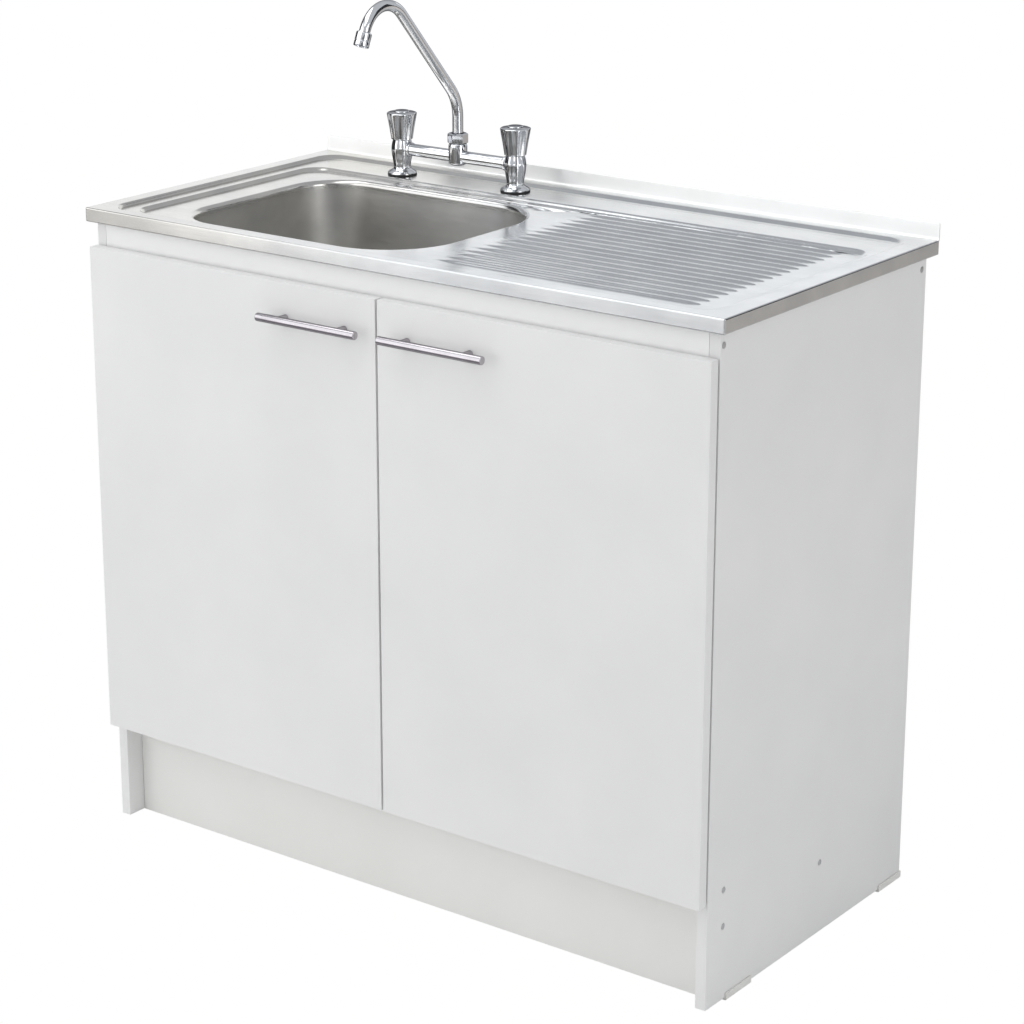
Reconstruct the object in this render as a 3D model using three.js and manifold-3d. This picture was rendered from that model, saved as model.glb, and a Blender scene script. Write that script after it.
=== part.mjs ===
// Kitchen sink unit: a pressed stainless steel top with one bowl and a ribbed drainer, on a
// two-door flat-pack cabinet, with a two-hole bridge mixer tap and the waste trap below.
// Millimetres, +Z up. X runs to the right and the doors face -Y. Every height is above the
// floor, and y is counted from the front edge of the sink top until the last lines, which
// move the unit so that the middle of its outline stands over the origin.

import * as THREE from 'three';
import { mergeVertices } from 'three/addons/utils/BufferGeometryUtils.js';
import Module from 'manifold-3d';

const wasm = await Module();
wasm.setup();

// ---- Clearances ----
const seatGap = 0.3; // between two pieces that rest on each other
const boreGap = 0.3; // all round a screw, pin, tube or spigot in its hole
const ledgeGap = 0.2; // under the thin washers

// ---- Sink top ----
const topWidth = 1000;
const topDepth = 500;
const topHeight = 875;
const sheet = 0.9;
const lipHeight = 19;
const lipReturn = 7;
const upstandHeight = 21;
const upstandThickness = 1.8;
const sideMarginLeft = 21;
const sideMarginRight = 24;
const frontMargin = 16;
const backMargin = 12;
const stepDepth = 4.5;
const sideSlope = 6;
const backSlope = 26;
const ledgeLeft = 18;
const ledgeRight = 8;
const ledgeFront = 12;
const ledgeBack = 46;
const innerSlope = 8;
const innerBackSlope = 18;
const outerCornerRadius = 34;
const innerCornerRadius = 30;

// ---- Bowl ----
const bowlSideMargin = 94; // from the top's left end
const bowlWidth = 404;
const bowlFront = 52;
const bowlBackMargin = 111;
const bowlDepth = 150;
const bowlLeftRadius = 78;
const bowlRightRadius = 108;
const bowlRimRadius = 7;
const bowlBottomRadius = 34;
const bowlWallLean = THREE.MathUtils.degToRad(4);
const bowlFall = 3;

// ---- Drainer ribs ----
const ribCount = 17;
const ribEndMargin = 8.5; // from the bowl's front and back edges to the outer ribs
const ribWidth = 13;
const ribHeight = 2.6;
const ribBowlMargin = 26;
const ribSetBack = 10; // the ribs lie this much further back than the bowl
const ribSideMargin = 78; // from the top's right end
const ribRunOut = 46;
const ribPoint = 20;

// ---- Cabinet ----
const carcassSideMargin = 11.5; // inside each end of the top
const carcassRearMargin = 10.5;
const boardThickness = 15;
const bottomPanelHeight = 144;
const frontRailHeight = 64;
const rearRailHeight = 68;
const plinthSetBack = 29;
const supportRailHeight = 84;
const supportRailRearDistance = 221;
const backPanelThickness = 3;
const serviceCutWidth = 480;
const serviceCutHeight = 300;
const serviceCutDrop = 135; // from the top down to its upper edge
const serviceCutSideMargin = 29;
const serviceCutRadius = 30;

// ---- Cabinet screws ----
const screwHeadRadius = 4;
const screwHeadHeight = 2;
const screwRadius = 2;
const screwBite = 25;
const bottomScrewSetBack = 36;
const upperScrewDrop = 30;
const plinthScrewDrop = 41;

// ---- Floor glides ----
const glideThickness = 3;
const glideLength = 58;
const glideLipHeight = 10;
const glideLipThickness = 2;
const glideSetBack = 44;

// ---- Doors ----
const doorThickness = 15;
const doorTopDrop = 50; // from the top down to the doors' upper edges
const doorBottom = 143;
const doorOverhang = 7;
const doorGap = 2.5;
const doorReveal = 0.5;
const doorCentreGap = 3;

// ---- Concealed hinges ----
const hingeEndDistance = 100;
const pivotInset = 6.8;
const pivotDepth = 9.6;
const cupEdgeDistance = 3;
const cupBoreRadius = 17.5;
const cupBoreDepth = 12.9;
const cupWall = 0.6;
const cupFlangeWidth = 1.1;
const cupFlangeThickness = 1;
const cupEarSpan = 48;
const cupEarRadius = 5;
const cupEarOffset = 6;
const hingePinRadius = 1;
const eyeRadius = 2.3;
const eyeWidth = 6;
const neckThickness = 2;
const neckReach = 15.8;
const armEnd = 62;
const armWidth = 12;
const armWall = 1.4;
const plateRibHeight = 6;
const plateStart = 26;
const plateWingHeight = 52;
const plateWingWidth = 15;
const plateWingThickness = 1.3;
const plateScrewSetBack = 37;
const plateScrewSpacing = 32;

// ---- Bar handles ----
const handleLength = 160;
const handleRadius = 6;
const handleStandOff = 20;
const handlePostSpacing = 96;
const handlePostRadius = 4.6;
const handleCentre = 98;
const handleDrop = 45; // below the doors' upper edges
const handleScrewRadius = 1.6;
const handleScrewHeadRadius = 4;
const handleScrewHeadHeight = 2.2;
const handleScrewBite = 8;

// ---- Bridge mixer tap, heights counted from the ledge that it stands on ----
const tapOffset = -12; // from the bowl's centre
const tapRearDistance = 60;
const tapSpacing = 197;
const deckHoleRadius = 11;
const gasketThickness = 2;
const gasketRadius = 20.5;
const tailRadius = 10;
const tailLength = 45;
const tailBoreRadius = 5.5;
const backNutAcross = 28;
const backNutThickness = 8;
const pillarTop = 49.5;
const pillarFlutes = 8;
const pillarRadius = 14;
const pillarWaist = 11;
const pillarFlangeRadius = 20;
const bridgeHeight = 36.5;
const bridgeRadius = 8.5;
const bridgeSocketDepth = 5;
const hubRadius = 13;
const hubBottom = 24.5;
const hubTop = 55;
const hubNippleRadius = 10;
const hubNippleHeight = 4;
const spoutNutHeight = 14;
const spoutNutAcross = 25;

// ---- Spout ----
const spoutRadius = 7.5;
const spoutBottom = 42;
const spoutPole = 91.4;
const spoutLowerBend = 61;
const spoutSlope = THREE.MathUtils.degToRad(47.4);
const spoutArm = 155;
const spoutHookRadius = 46.6;
const spoutTipSlope = THREE.MathUtils.degToRad(-67);
const spoutTail = 15;
const aeratorRadius = 10.5;
const aeratorLength = 19;
const aeratorSocket = 13.5;
const aeratorScreenThickness = 1;
const aeratorScreenInset = 2;
const aeratorWall = 1.6;

// ---- Knobs ----
const knobBottom = 51.8;
const knobTop = 88;
const knobBottomRadius = 15.3;
const knobTopRadius = 21;
const knobFlutes = 8;
const knobFluteDepth = 1.3;
const knobHollowRadius = 11;
const knobHollowDepth = 8;
const spindleRadius = 5;
const spindleBottom = 30;
const knobCapRadius = 7;
const knobCapThickness = 2.4;

// ---- Waste and trap ----
const wasteHoleRadius = 23;
const wasteFlangeRadius = 35;
const wasteFlangeThickness = 2;
const wasteThroatRadius = 19;
const wasteTailRadius = 22.5;
const wasteTailLength = 58;
const wasteNutThickness = 10;
const wasteNutRadius = 33;
const trapRadius = 21.5;
const trapWall = 3;
const trapInlet = 40;
const trapBend = 42;
const trapRise = 8;
const trapStub = 4;
const trapOutletBend = 28;
const unionNutRadius = 29;
const unionNutLength = 26;
const unionNutGrips = 10;
const unionLipLength = 6;
const unionGripLength = 6;
const outletRearMargin = 2;

// ---- Facets ----
const roundSides = 24;
const tubeSides = 16;
const hingeSides = 16;
const smallSides = 12;
const holeSides = 8;
const cornerSteps = 3; // each bowl and recess corner is twice this many facets

// ---- Places worked out from the sizes ----
const halfWidth = topWidth / 2;
const ledgeHeight = topHeight - stepDepth;
const drainerHeight = ledgeHeight - stepDepth;
const doorFront = -doorOverhang;
const doorBack = doorFront + doorThickness;
const panelFront = doorBack + doorGap;
const panelBack = topDepth - carcassRearMargin;
const panelOuter = halfWidth - carcassSideMargin;
const panelInner = panelOuter - boardThickness;
const boardEnd = panelInner - seatGap;
const panelBottom = glideThickness + seatGap;
const carcassTop = ledgeHeight - sheet - seatGap;
const bowlLeft = -halfWidth + bowlSideMargin;
const bowlLength = topDepth - bowlFront - bowlBackMargin;
const bowlCentreX = bowlLeft + bowlWidth / 2;
const bowlCentreY = bowlFront + bowlLength / 2;
const ribLeft = bowlLeft + bowlWidth + ribBowlMargin;
const ribRight = halfWidth - ribSideMargin;
const ribPitch = (bowlLength - 2 * ribEndMargin) / (ribCount - 1);
const tapCentre = bowlCentreX + tapOffset;
const tapSetBack = topDepth - tapRearDistance;
const doorHeight = topHeight - doorTopDrop - doorBottom;
const handleHeight = topHeight - doorTopDrop - handleDrop;
const doorOuter = panelOuter - doorReveal;
const doorWidth = doorOuter - doorCentreGap / 2;
const pivotX = doorOuter - pivotInset;
const pivotY = doorBack - pivotDepth;

// ---- Materials ----
function finish(color, roughness, metalness) {
  return new THREE.MeshStandardMaterial({ color, roughness, metalness });
}

const whiteBoard = () => finish(0xe4e4e3, 0.45, 0);
const hardboard = () => finish(0xdcdad4, 0.7, 0);
const stainless = () => finish(0xb9b9b4, 0.3, 1);
const chrome = () => finish(0xdfe2e6, 0.08, 1);
const satinChrome = () => finish(0xbcbabf, 0.22, 1);
const zincSteel = () => finish(0x9a9c9f, 0.4, 1);
const rubber = () => finish(0x2a2b2d, 0.8, 0);
const whitePlastic = () => finish(0xe8e8e2, 0.5, 0);
const brass = () => finish(0xb08d4a, 0.4, 1);

// ---- Solids, cuts and joins ----
function toSolid(geometry) {
  const bare = geometry.clone();
  bare.deleteAttribute('normal');
  bare.deleteAttribute('uv');
  const merged = mergeVertices(bare, 1e-4);
  const corners = merged.index.array;
  const triangles = [];
  for (let i = 0; i < corners.length; i += 3) {
    const [a, b, c] = corners.slice(i, i + 3);
    if (a !== b && b !== c && c !== a) triangles.push(a, b, c);
  }
  return new wasm.Manifold(new wasm.Mesh({
    numProp: 3,
    vertProperties: new Float32Array(merged.attributes.position.array),
    triVerts: new Uint32Array(triangles),
  }));
}

function toGeometry(solid) {
  const { vertProperties, triVerts } = solid.getMesh();
  const geometry = new THREE.BufferGeometry();
  geometry.setAttribute('position', new THREE.BufferAttribute(vertProperties, 3));
  geometry.setIndex(new THREE.BufferAttribute(triVerts, 1));
  geometry.computeVertexNormals();
  return geometry;
}

function join(...geometries) {
  return toGeometry(geometries.map(toSolid).reduce((whole, part) => whole.add(part)));
}

function cut(base, ...tools) {
  return toGeometry(tools.map(toSolid).reduce((rest, tool) => rest.subtract(tool), toSolid(base)));
}

function common(base, tool) {
  return toGeometry(toSolid(base).intersect(toSolid(tool)));
}

// The same piece for the other side of the unit.
function mirrored(geometry) {
  const copy = toGeometry(toSolid(geometry)).scale(-1, 1, 1);
  const corners = copy.index.array;
  for (let i = 0; i < corners.length; i += 3) {
    [corners[i], corners[i + 1]] = [corners[i + 1], corners[i]];
  }
  copy.computeVertexNormals();
  return copy;
}

function box(x0, x1, y0, y1, z0, z1) {
  const geometry = new THREE.BoxGeometry(x1 - x0, y1 - y0, z1 - z0);
  return geometry.translate((x0 + x1) / 2, (y0 + y1) / 2, (z0 + z1) / 2);
}

// A turned piece from [radius, height] pairs, outer side going up, about the Z axis.
function turned(profile, sides) {
  const points = profile.map(([radius, height]) => new THREE.Vector2(radius, height));
  return new THREE.LatheGeometry(points, sides).rotateX(Math.PI / 2);
}

function disc(radius, z0, z1, sides) {
  return turned([[0, z0], [radius, z0], [radius, z1], [0, z1]], sides);
}

function washer(inner, outer, z0, z1, sides) {
  return turned([[inner, z0], [outer, z0], [outer, z1], [inner, z1], [inner, z0]], sides);
}

// Turns a piece made along +Z so that it points along +X, -Y or +Y.
const pointX = (geometry) => geometry.rotateY(Math.PI / 2);
const pointFront = (geometry) => geometry.rotateX(Math.PI / 2);
const pointBack = (geometry) => geometry.rotateX(-Math.PI / 2);

// A skin through rings of equally many points, counter-clockwise and in rising order.
function loft(rings) {
  const count = rings[0].length;
  const positions = rings.flat().flatMap((point) => point.toArray());
  const faces = [];
  for (let ring = 0; ring < rings.length - 1; ring += 1) {
    for (let i = 0; i < count; i += 1) {
      const a = ring * count + i;
      const b = ring * count + ((i + 1) % count);
      faces.push(a, b, b + count, a, b + count, a + count);
    }
  }
  const last = (rings.length - 1) * count;
  for (let i = 1; i < count - 1; i += 1) {
    faces.push(0, i + 1, i);
    faces.push(last, last + i, last + i + 1);
  }
  const geometry = new THREE.BufferGeometry();
  geometry.setAttribute('position', new THREE.Float32BufferAttribute(positions, 3));
  geometry.setIndex(faces);
  return geometry;
}

// A round bar along points that lie in one upright plane; across is that plane's normal.
function swept(points, radius, across) {
  const last = points.length - 1;
  return loft(points.map((point, i) => {
    const ahead = points[Math.min(i + 1, last)];
    const along = ahead.clone().sub(points[Math.max(i - 1, 0)]).normalize();
    const other = along.cross(across);
    return Array.from({ length: tubeSides }, (_, k) => {
      const turn = (k / tubeSides) * Math.PI * 2;
      return point.clone()
        .addScaledVector(across, radius * Math.cos(turn))
        .addScaledVector(other, radius * Math.sin(turn));
    });
  }));
}

// An outline with rounded corners, one radius for its left pair and one for its right pair.
function outline(area, height) {
  const { left, right, front, back, leftRadius, rightRadius } = area;
  const path = new THREE.Path();
  path.absarc(right - rightRadius, front + rightRadius, rightRadius, -Math.PI / 2, 0);
  path.absarc(right - rightRadius, back - rightRadius, rightRadius, 0, Math.PI / 2);
  path.absarc(left + leftRadius, back - leftRadius, leftRadius, Math.PI / 2, Math.PI);
  path.absarc(left + leftRadius, front + leftRadius, leftRadius, Math.PI, Math.PI * 1.5);
  return path.getPoints(cornerSteps).map((point) => new THREE.Vector3(point.x, point.y, height));
}

function inset(area, distance) {
  return {
    left: area.left + distance,
    right: area.right - distance,
    front: area.front + distance,
    back: area.back - distance,
    leftRadius: Math.max(area.leftRadius - distance, 1),
    rightRadius: Math.max(area.rightRadius - distance, 1),
  };
}

function between(from, to, share) {
  const area = {};
  for (const key of Object.keys(from)) area[key] = THREE.MathUtils.lerp(from[key], to[key], share);
  return area;
}

// A ring with shallow flutes, for the fluted castings of the tap.
function flutedRing(radius, flutes, depth, height) {
  const stepsPerFlute = 3;
  const points = [];
  for (let i = 0; i < flutes * stepsPerFlute; i += 1) {
    const turn = (i / (flutes * stepsPerFlute)) * Math.PI * 2;
    const reach = radius - depth * (0.5 - 0.5 * Math.cos(turn * flutes));
    points.push(new THREE.Vector3(reach * Math.cos(turn), reach * Math.sin(turn), height));
  }
  return points;
}

function hexagon(across, z0, z1) {
  const radius = across / Math.sqrt(3);
  return disc(radius, z0, z1, 6);
}

// ---- Assembly ----
const group = new THREE.Group();

function subAssembly(parent, x, y, z) {
  const child = new THREE.Group();
  child.position.set(x, y, z);
  parent.add(child);
  return child;
}

function place(name, geometry, material, parent, x = 0, y = 0, z = 0) {
  const mesh = new THREE.Mesh(geometry, material);
  mesh.name = name;
  mesh.position.set(x, y, z);
  parent.add(mesh);
  return mesh;
}

const cabinet = subAssembly(group, 0, 0, 0);

// ---- Sink top: one pressed sheet ----
// The sheet is the space between two stacks of forms: the die side, grown and lowered by the
// sheet's thickness, is joined on, and the bowl side is taken away.
const outerRim = {
  left: -halfWidth + sideMarginLeft,
  right: halfWidth - sideMarginRight,
  front: frontMargin,
  back: topDepth - backMargin,
  leftRadius: outerCornerRadius,
  rightRadius: outerCornerRadius,
};

function steppedIn(area, left, right, front, back, radius) {
  return {
    left: area.left + left,
    right: area.right - right,
    front: area.front + front,
    back: area.back - back,
    leftRadius: radius,
    rightRadius: radius,
  };
}

const outerFloor = steppedIn(outerRim, sideSlope, sideSlope, sideSlope, backSlope, outerCornerRadius);
const innerRim = steppedIn(outerFloor, ledgeLeft, ledgeRight, ledgeFront, ledgeBack, innerCornerRadius);
const innerFloor = steppedIn(innerRim, innerSlope, innerSlope, innerSlope, innerBackSlope,
  innerCornerRadius);
const bowlRim = {
  left: bowlLeft,
  right: bowlLeft + bowlWidth,
  front: bowlFront,
  back: bowlFront + bowlLength,
  leftRadius: bowlLeftRadius,
  rightRadius: bowlRightRadius,
};

// Levels of a soft S-shaped step from one outline down to the next.
function stepLevels(rim, floor, height) {
  return [0, 0.3, 0.7, 1].map((share) => ({
    area: between(rim, floor, share),
    height: height - stepDepth * THREE.MathUtils.smoothstep(share, 0, 1),
  }));
}

// Levels of the bowl: rolled rim, leaning wall, bottom fillet, and a floor that falls to the waste.
function bowlLevels() {
  const wallAngle = Math.PI / 2 - bowlWallLean;
  const fallAngle = THREE.MathUtils.degToRad(1);
  const levels = [];
  const addLevel = (distance, drop) => {
    levels.push({ area: inset(bowlRim, distance), height: drainerHeight - drop });
  };
  const rimSteps = 3;
  for (let i = 0; i <= rimSteps; i += 1) {
    const turn = (i / rimSteps) * wallAngle;
    addLevel(bowlRimRadius * Math.sin(turn), bowlRimRadius * (1 - Math.cos(turn)));
  }
  const filletDrop = bowlBottomRadius * (Math.cos(fallAngle) - Math.cos(wallAngle));
  const rimDrop = bowlRimRadius * (1 - Math.cos(wallAngle));
  const wallDrop = bowlDepth - rimDrop - filletDrop;
  const wallFoot = bowlRimRadius * Math.sin(wallAngle) + wallDrop * Math.tan(bowlWallLean);
  const filletSteps = 4;
  for (let i = 0; i <= filletSteps; i += 1) {
    const turn = THREE.MathUtils.lerp(wallAngle, fallAngle, i / filletSteps);
    const across = bowlBottomRadius * (Math.sin(wallAngle) - Math.sin(turn));
    const down = bowlBottomRadius * (Math.cos(turn) - Math.cos(wallAngle));
    addLevel(wallFoot + across, rimDrop + wallDrop + down);
  }
  const seat = wasteFlangeRadius + sheet;
  levels.push({
    area: {
      left: bowlCentreX - seat,
      right: bowlCentreX + seat,
      front: bowlCentreY - seat,
      back: bowlCentreY + seat,
      leftRadius: seat * 0.96,
      rightRadius: seat * 0.96,
    },
    height: drainerHeight - bowlDepth - bowlFall,
  });
  return levels;
}

// The die-side form, and the bowl-side form that is cut out above it.
function dieForm(levels) {
  const rings = levels.map(({ area, height }) => outline(inset(area, -sheet), height - sheet));
  const collar = outline(inset(levels[0].area, -sheet), levels[0].height - sheet / 2);
  return loft([collar, ...rings].reverse());
}

function punchForm(levels) {
  const rings = levels.map(({ area, height }) => outline(area, height));
  const above = outline(levels[0].area, topHeight + upstandHeight);
  return loft([above, ...rings].reverse());
}

// One raised rib of the drainer, pointed at its right end and running out at its left end.
function drainerRib(y, height) {
  const stations = [
    [ribLeft, 0.04],
    [ribLeft + ribRunOut, 1],
    [ribRight - ribPoint, 1],
    [ribRight - ribPoint / 3, 0.62],
    [ribRight, 0.04],
  ];
  const archSteps = 4;
  const rings = stations.map(([x, share]) => {
    const half = (ribWidth / 2) * share;
    const ring = [new THREE.Vector3(x, y - half, height - sheet / 2)];
    ring.push(new THREE.Vector3(x, y + half, height - sheet / 2));
    for (let i = 0; i <= archSteps; i += 1) {
      const turn = (i / archSteps) * Math.PI;
      const rise = ribHeight * share * Math.sin(turn);
      ring.push(new THREE.Vector3(x, y + half * Math.cos(turn), height + rise));
    }
    return ring;
  });
  return loft(rings);
}

function sinkTop() {
  const lipBottom = topHeight - lipHeight;
  const outside = box(-halfWidth, halfWidth, 0, topDepth, lipBottom, topHeight);
  const under = box(-halfWidth + sheet, halfWidth - sheet, sheet, topDepth + sheet,
    lipBottom + sheet, topHeight - sheet);
  const mouth = box(-halfWidth + lipReturn, halfWidth - lipReturn, lipReturn, topDepth + sheet,
    lipBottom - sheet, topHeight - 2 * sheet);
  const upstand = box(-halfWidth, halfWidth, topDepth - upstandThickness, topDepth,
    topHeight - sheet, topHeight + upstandHeight);
  const outerStep = stepLevels(outerRim, outerFloor, topHeight);
  const innerStep = stepLevels(innerRim, innerFloor, ledgeHeight);
  const bowl = bowlLevels();
  let top = toSolid(outside).subtract(toSolid(under)).subtract(toSolid(mouth));
  top = top.add(toSolid(upstand));
  for (const levels of [outerStep, innerStep, bowl]) top = top.add(toSolid(dieForm(levels)));
  for (const levels of [outerStep, innerStep, bowl]) top = top.subtract(toSolid(punchForm(levels)));
  const firstRib = bowlFront + ribEndMargin + ribSetBack;
  for (let i = 0; i < ribCount; i += 1) {
    const y = firstRib + i * ribPitch;
    top = top.add(toSolid(drainerRib(y, drainerHeight)));
    top = top.subtract(toSolid(drainerRib(y, drainerHeight - sheet)));
  }
  for (const side of [-1, 1]) {
    const hole = disc(deckHoleRadius, -stepDepth, stepDepth, smallSides);
    hole.translate(tapCentre + (side * tapSpacing) / 2, tapSetBack, ledgeHeight);
    top = top.subtract(toSolid(hole));
  }
  const wasteHole = disc(wasteHoleRadius, -bowlFall * 2, bowlFall * 2, roundSides);
  wasteHole.translate(bowlCentreX, bowlCentreY, drainerHeight - bowlDepth - bowlFall);
  return toGeometry(top.subtract(toSolid(wasteHole)));
}

place('sink_top', sinkTop(), stainless(), cabinet);

// ---- Carcass boards and their screws ----
const frontRail = {
  y0: panelFront,
  y1: panelFront + boardThickness,
  z0: carcassTop - frontRailHeight,
  z1: carcassTop,
};
const backPanelFront = panelBack - backPanelThickness;
const rearRail = {
  y0: backPanelFront - seatGap - boardThickness,
  y1: backPanelFront - seatGap,
  z0: carcassTop - rearRailHeight,
  z1: carcassTop,
};
const bottomPanel = {
  y0: panelFront,
  y1: backPanelFront - seatGap,
  z0: bottomPanelHeight,
  z1: bottomPanelHeight + boardThickness,
};
const plinth = {
  y0: panelFront + plinthSetBack,
  y1: panelFront + plinthSetBack + boardThickness,
  z0: panelBottom,
  z1: bottomPanelHeight - seatGap,
};
const supportRail = {
  y0: panelBack - supportRailRearDistance,
  y1: panelBack - supportRailRearDistance + boardThickness,
  z0: bottomPanelHeight - seatGap - supportRailHeight,
  z1: bottomPanelHeight - seatGap,
};
const screwPlaces = {
  front_rail: [(frontRail.y0 + frontRail.y1) / 2, frontRail.z1 - upperScrewDrop],
  rear_rail: [(rearRail.y0 + rearRail.y1) / 2, rearRail.z1 - upperScrewDrop],
  bottom: [bottomPanel.y0 + bottomScrewSetBack, (bottomPanel.z0 + bottomPanel.z1) / 2],
  plinth: [(plinth.y0 + plinth.y1) / 2, plinth.z1 - plinthScrewDrop],
  support_rail: [(supportRail.y0 + supportRail.y1) / 2, (supportRail.z0 + supportRail.z1) / 2],
};

// Everything at the right-hand end, made along +X with x counted from the panel's outer face.
function screwBody(grow, extra) {
  const shank = boardThickness + screwBite + extra;
  return pointX(turned([
    [0, -shank],
    [screwRadius + grow, -shank],
    [screwRadius + grow, -screwHeadHeight - grow],
    [screwHeadRadius + grow, -screwHeadHeight - grow],
    [screwHeadRadius + grow, extra],
    [0, extra],
  ], holeSides));
}

const screwTools = Object.values(screwPlaces).map(([y, z]) => (
  screwBody(boreGap, 1).translate(panelOuter, y, z)));

function carcassBoard({ y0, y1, z0, z1 }) {
  const plain = box(-boardEnd, boardEnd, y0, y1, z0, z1);
  return cut(plain, ...screwTools, ...screwTools.map(mirrored));
}

const sidePanel = cut(
  box(panelInner, panelOuter, panelFront, panelBack, panelBottom, carcassTop),
  ...screwTools,
);
place('right_side_panel', sidePanel, whiteBoard(), cabinet);
place('left_side_panel', mirrored(sidePanel), whiteBoard(), cabinet);
place('front_top_rail', carcassBoard(frontRail), whiteBoard(), cabinet);
place('rear_top_rail', carcassBoard(rearRail), whiteBoard(), cabinet);
place('bottom_panel', carcassBoard(bottomPanel), whiteBoard(), cabinet);
place('plinth_board', carcassBoard(plinth), whiteBoard(), cabinet);
place('lower_support_rail', carcassBoard(supportRail), whiteBoard(), cabinet);

for (const [board, [y, z]] of Object.entries(screwPlaces)) {
  const screw = screwBody(0, 0).translate(panelOuter, 0, 0);
  place(`right_${board}_screw`, screw, zincSteel(), cabinet, 0, y, z);
  place(`left_${board}_screw`, mirrored(screw), zincSteel(), cabinet, 0, y, z);
}

// The thin back, cut out round the waste pipe and the water pipes.
function backPanel() {
  const windowTop = topHeight - serviceCutDrop;
  const window = {
    left: -boardEnd + serviceCutSideMargin,
    right: -boardEnd + serviceCutSideMargin + serviceCutWidth,
    front: windowTop - serviceCutHeight,
    back: windowTop,
    leftRadius: serviceCutRadius,
    rightRadius: serviceCutRadius,
  };
  const shape = new THREE.Shape();
  shape.moveTo(-boardEnd, bottomPanelHeight);
  shape.lineTo(boardEnd, bottomPanelHeight);
  shape.lineTo(boardEnd, carcassTop);
  shape.lineTo(-boardEnd, carcassTop);
  shape.closePath();
  shape.holes.push(new THREE.Path(outline(window, 0).map(({ x, y }) => new THREE.Vector2(x, y))));
  const panel = new THREE.ExtrudeGeometry(shape, { depth: backPanelThickness, bevelEnabled: false });
  return pointFront(panel).translate(0, panelBack, 0);
}

place('back_panel', backPanel(), hardboard(), cabinet);

// ---- Floor glides: an L-shaped plastic clip under each end of the side panels ----
function glide(y0) {
  const corner = 2;
  const outer = panelOuter + seatGap + glideLipThickness;
  const shape = new THREE.Shape();
  shape.moveTo(panelInner, 0);
  shape.lineTo(outer - corner, 0);
  shape.absarc(outer - corner, corner, corner, -Math.PI / 2, 0);
  shape.lineTo(outer, glideLipHeight);
  shape.lineTo(panelOuter + seatGap, glideLipHeight);
  shape.lineTo(panelOuter + seatGap, glideThickness);
  shape.lineTo(panelInner, glideThickness);
  shape.closePath();
  const settings = { depth: glideLength, bevelEnabled: false, curveSegments: 3 };
  return pointFront(new THREE.ExtrudeGeometry(shape, settings)).translate(0, y0 + glideLength, 0);
}

const frontGlide = glide(panelFront + glideSetBack);
const rearGlide = glide(panelBack - glideLength);
place('right_front_glide', frontGlide, whitePlastic(), cabinet);
place('right_rear_glide', rearGlide, whitePlastic(), cabinet);
place('left_front_glide', mirrored(frontGlide), whitePlastic(), cabinet);
place('left_rear_glide', mirrored(rearGlide), whitePlastic(), cabinet);

// ---- Concealed hinges, drawn for a right-hand door from its pivot: +X outwards, +Y back ----
const cupCentre = pivotInset - cupEdgeDistance - cupBoreRadius;
const panelFaceX = panelInner - pivotX;

// The steel cup in the door, with the pin across it.
function hingeCup() {
  const floor = pivotDepth - cupBoreDepth + boreGap / 2;
  const outer = cupBoreRadius - boreGap;
  const inner = outer - cupWall;
  const mouth = pivotDepth + ledgeGap;
  const face = mouth + cupFlangeThickness;
  const cup = pointBack(turned([
    [0, floor],
    [outer, floor],
    [outer, mouth],
    [outer + cupFlangeWidth, mouth],
    [outer + cupFlangeWidth, face],
    [inner, face],
    [inner, floor + cupWall],
    [0, floor + cupWall],
  ], hingeSides)).translate(cupCentre, 0, 0);
  const ears = box(cupCentre - cupEarOffset - cupEarRadius, cupCentre - cupEarOffset + cupEarRadius,
    mouth, face, -cupEarSpan / 2 - cupEarRadius, cupEarSpan / 2 + cupEarRadius);
  const well = pointBack(disc(inner, mouth - 1, face + 1, hingeSides)).translate(cupCentre, 0, 0);
  const round = pointBack(disc(outer - cupWall / 4, floor, face, hingeSides)).translate(cupCentre, 0, 0);
  const pin = common(disc(hingePinRadius, -outer, outer, smallSides), round);
  return join(cup, cut(ears, well), pin);
}

// The cranked arm: an eye on the pin, a neck inside the cup, and a channel over the plate.
function hingeArm() {
  const eye = disc(eyeRadius, -eyeWidth / 2, eyeWidth / 2, hingeSides);
  const hole = disc(hingePinRadius + boreGap * 0.8, -eyeWidth, eyeWidth, smallSides);
  const neck = box(-neckReach, -hingePinRadius, -neckThickness / 2, neckThickness / 2,
    -eyeWidth / 2, eyeWidth / 2);
  const webTop = panelFaceX - seatGap - plateRibHeight - seatGap;
  const webFront = pivotDepth + doorGap + neckThickness;
  const riser = box(-neckReach, -neckReach + neckThickness, -neckThickness / 2,
    webFront + armWall, -eyeWidth / 2, eyeWidth / 2);
  const wingTop = panelFaceX - seatGap - plateWingThickness - seatGap;
  const channel = box(-neckReach, wingTop, webFront, armEnd, -armWidth / 2, armWidth / 2);
  const hollow = box(webTop, wingTop + 1, webFront - 1, armEnd + 1,
    -armWidth / 2 + armWall, armWidth / 2 - armWall);
  const fixing = disc(3, -1, 1.6, smallSides).rotateY(-Math.PI / 2);
  fixing.translate(-neckReach, pivotDepth + doorGap + plateScrewSetBack, 0);
  return cut(join(eye, neck, riser, channel, fixing), hole, hollow);
}

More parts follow.
